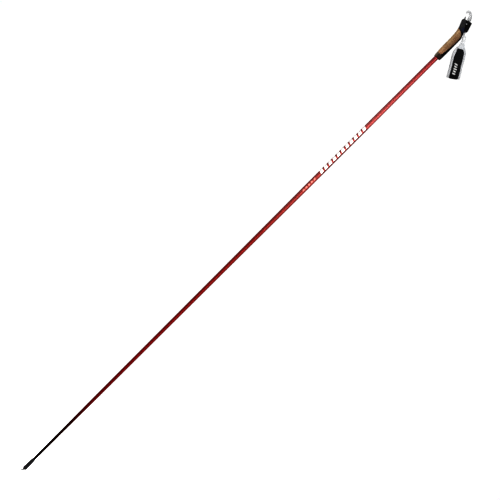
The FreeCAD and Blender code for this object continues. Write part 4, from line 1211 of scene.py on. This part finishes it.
# rows that hold the bindings, outside and inside
for edge, inward in ((band_lo, 1.0), (band_hi, -1.0)):
    e = -LB + 1.5
    while e < LB - 3.0:
        e2 = e + 2.1
        n0, n1 = float(edge(s_of(e))) + inward * 3.3, float(edge(s_of(e2))) + inward * 3.3
        loop_stitch(b, n0, e, n1, e2, 0.60, 0.17)
        t = float(band_thick(s_of(e)))
        loop_stitch(b, n0, e, n1, e2, -t - 0.62, 0.17, side=-1.0)
        e += 3.1
# bar tacks where the tape is sewn between the band's ends, both faces
for near in (True, False):
    for s_t in (30.4, 32.9):
        ec = ell_of(s_t, near)
        lo_n, hi_n = float(band_lo(s_t)) + 1.2, float(band_hi(s_t)) - 1.2
        k = 14
        for q in range(k):
            n0 = lo_n + (hi_n - lo_n) * q / k
            n1 = lo_n + (hi_n - lo_n) * (q + 1) / k
            d0 = 0.45 if q % 2 else -0.45
            loop_stitch(b, n0, ec + d0, n1, ec - d0, 0.03, 0.16)
    # lengthwise rows joining the two tacks and running down the widening neck
    for n_t in (-3.6, 3.8):
        e = ell_of(34.4, near)
        stop = ell_of(43.0, near)
        sgn = 1.0 if stop > e else -1.0
        while (stop - e) * sgn > 2.0:
            g = (s_of(e) - 34.0) / 10.0
            loop_stitch(b, n_t * (1 + 0.5 * g), e, n_t * (1 + 0.5 * g + 0.1), e + sgn * 1.7, 0.03, 0.15)
            e += sgn * 2.6
o = b.make("band_stitching", [M_THREAD_L])
outward(o)
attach(o, "hand_loop")

b = Build()
# top-stitching round the pad and along its cross seams
for side_v, lo_flag in ((-1, True), (1, False)):
    e = -LP + 2.4
    while e < LP - 3.4:
        e2 = e + 1.9
        pts = []
        for q in (e, e2):
            s = float(s_of(q))
            n_lo, n_hi = float(np.interp(s, plo_q, plo_v)), float(np.interp(s, phi_q, phi_v))
            pts.append(n_lo + 2.1 if lo_flag else n_hi - 2.1)
        loop_stitch(b, pts[0], e, pts[1], e2, 0.95, 0.16)
        e += 2.8
for near in (True, False):
    for s_t in (SEAM_S, 47.3):
        ec = ell_of(s_t, near)
        n_lo, n_hi = float(np.interp(s_t, plo_q, plo_v)) + 2.3, float(np.interp(s_t, phi_q, phi_v)) - 2.3
        n0 = n_lo
        while n0 + 1.9 < n_hi:
            loop_stitch(b, n0, ec, n0 + 1.8, ec, 0.95, 0.16)
            n0 += 2.7
o = b.make("pad_stitching", [M_THREAD_D])
outward(o)
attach(o, "hand_loop")

# two rows that join the tail's layers near its end
b = Build()
m_t = left_over
for dist in (3.2, 6.0):
    i = int(np.argmin(np.abs(m_t - dist)))
    for face in (1, -1):
        up = tthick[i] * face
        for q in range(5):
            a0 = -5.6 + q * 2.35
            c0 = tpath[i] + tthick[i] * face * (HALF_GAP + TAPE_T + 0.0)
            stitch(b, c0 + tacross[i] * a0, c0 + tacross[i] * (a0 + 1.75), up, 0.17)
o = b.make("tail_stitching", [M_THREAD_L])
outward(o)
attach(o, "strap_tail")


# ---------------------------------------------------------------------------
# stage: pale floor, soft light, camera
# ---------------------------------------------------------------------------
def make_floor():
    m = Mat("pale_floor", Roughness=0.9, Specular_IOR_Level=0.1)
    p = m.obj()
    n = m.noise(p, 0.02, 4.0, 0.6)
    m.set("Base_Color", m.mix(m.grey(n, 0.3, 0.7), (0.86, 0.86, 0.86, 1), (0.83, 0.83, 0.83, 1)))
    lp = m.node("ShaderNodeLightPath")
    em = m.node("ShaderNodeEmission")
    em.inputs["Strength"].default_value = 0.81
    add = m.node("ShaderNodeAddShader")
    mixs = m.node("ShaderNodeMixShader")
    m.nt.links.new(m.b.outputs[0], add.inputs[0])
    m.nt.links.new(em.outputs[0], add.inputs[1])
    m.nt.links.new(lp.outputs["Is Camera Ray"], mixs.inputs[0])
    dim = m.node("ShaderNodeBsdfDiffuse")
    dim.inputs["Color"].default_value = (0.45, 0.45, 0.45, 1)
    m.nt.links.new(dim.outputs[0], mixs.inputs[1])
    m.nt.links.new(add.outputs[0], mixs.inputs[2])
    out = [q for q in m.nt.nodes if q.type == "OUTPUT_MATERIAL"][0]
    m.nt.links.new(mixs.outputs[0], out.inputs["Surface"])
    b = Build()
    r = 12000.0
    k = 48
    g = np.linspace(-1, 1, k)
    xx, yy = np.meshgrid(g, g, indexing="ij")
    v = np.stack([xx * r, yy * r, np.full_like(xx, CAD_BOX[0][2] * 1000.0 - 0.25)], -1).reshape(-1, 3)
    f = [(i * k + j, (i + 1) * k + j, (i + 1) * k + j + 1, i * k + j + 1) for i in range(k - 1) for j in range(k - 1)]
    b.add(v, f, v[:, :2] * 0.001)
    o = b.make("studio_floor", [m.m])
    return o


make_floor()

world = bpy.data.worlds.new("studio")
bpy.context.scene.world = world
world.use_nodes = True
nt = world.node_tree
nt.nodes.clear()
out = nt.nodes.new("ShaderNodeOutputWorld")
white = nt.nodes.new("ShaderNodeBackground")
white.inputs["Color"].default_value = (1, 1, 1, 1)
white.inputs["Strength"].default_value = 1.02
fill = nt.nodes.new("ShaderNodeBackground")
fill.inputs["Color"].default_value = (1.0, 1.0, 1.0, 1)
fill.inputs["Strength"].default_value = 0.24
lp = nt.nodes.new("ShaderNodeLightPath")
mx = nt.nodes.new("ShaderNodeMixShader")
nt.links.new(lp.outputs["Is Camera Ray"], mx.inputs[0])
nt.links.new(fill.outputs[0], mx.inputs[1])
nt.links.new(white.outputs[0], mx.inputs[2])
nt.links.new(mx.outputs[0], out.inputs["Surface"])


def softbox(name, azimuth, height, dist, size_x, size_z, power, tilt_to=0.9):
    """Area light at an azimuth round the pole (0 is in front, at -Y), aimed at it."""
    a = math.radians(azimuth)
    loc = Vector((math.sin(a) * dist, -math.cos(a) * dist, height))
    data = bpy.data.lights.new(name, "AREA")
    data.shape = "RECTANGLE"
    data.size, data.size_y = size_x, size_z
    data.energy = power
    o = bpy.data.objects.new(name, data)
    o.location = loc
    o.rotation_mode = "QUATERNION"
    o.rotation_quaternion = (Vector((0, 0, tilt_to)) - loc).to_track_quat("-Z", "Y")
    o.visible_camera = False
    bpy.context.scene.collection.objects.link(o)
    return o


softbox("key", 30.0, 1.0, 2.6, 1.4, 2.6, 94.0)
softbox("side", 104.0, 1.1, 2.4, 0.7, 2.4, 22.0)
softbox("back", 214.0, 1.1, 2.8, 1.3, 2.4, 62.0)
softbox("left", 305.0, 1.3, 2.7, 1.2, 2.4, 44.0)
softbox("top", 20.0, 3.4, 0.9, 1.6, 1.6, 28.0)

# camera: square on to the pole's side, far back, rolled so that the shaft runs up to the right
cam_data = bpy.data.cameras.new("view")
cam_data.type = "PERSP"
cam_data.lens = 200.0
cam_data.sensor_width = 36.0
cam_data.sensor_fit = "HORIZONTAL"
cam_data.clip_start, cam_data.clip_end = 0.1, 60.0
cam = bpy.data.objects.new("view", cam_data)
roll = math.radians(45.068)
right = Vector((math.cos(roll), 0.0, math.sin(roll)))
up = Vector((-right.z, 0.0, right.x))
back = right.cross(up)
aim = Vector((0.0127, 0.0, 0.881))
cam.matrix_world = Matrix.Translation(aim + back * 7.714) @ Matrix((
    (right.x, up.x, back.x), (right.y, up.y, back.y), (right.z, up.z, back.z))).to_4x4()
bpy.context.scene.collection.objects.link(cam)
bpy.context.scene.camera = cam

sc = bpy.context.scene
sc.view_settings.view_transform = "Standard"
sc.view_settings.look = "None"
sc.view_settings.exposure = 0.0
sc.view_settings.gamma = VIEW_GAMMA
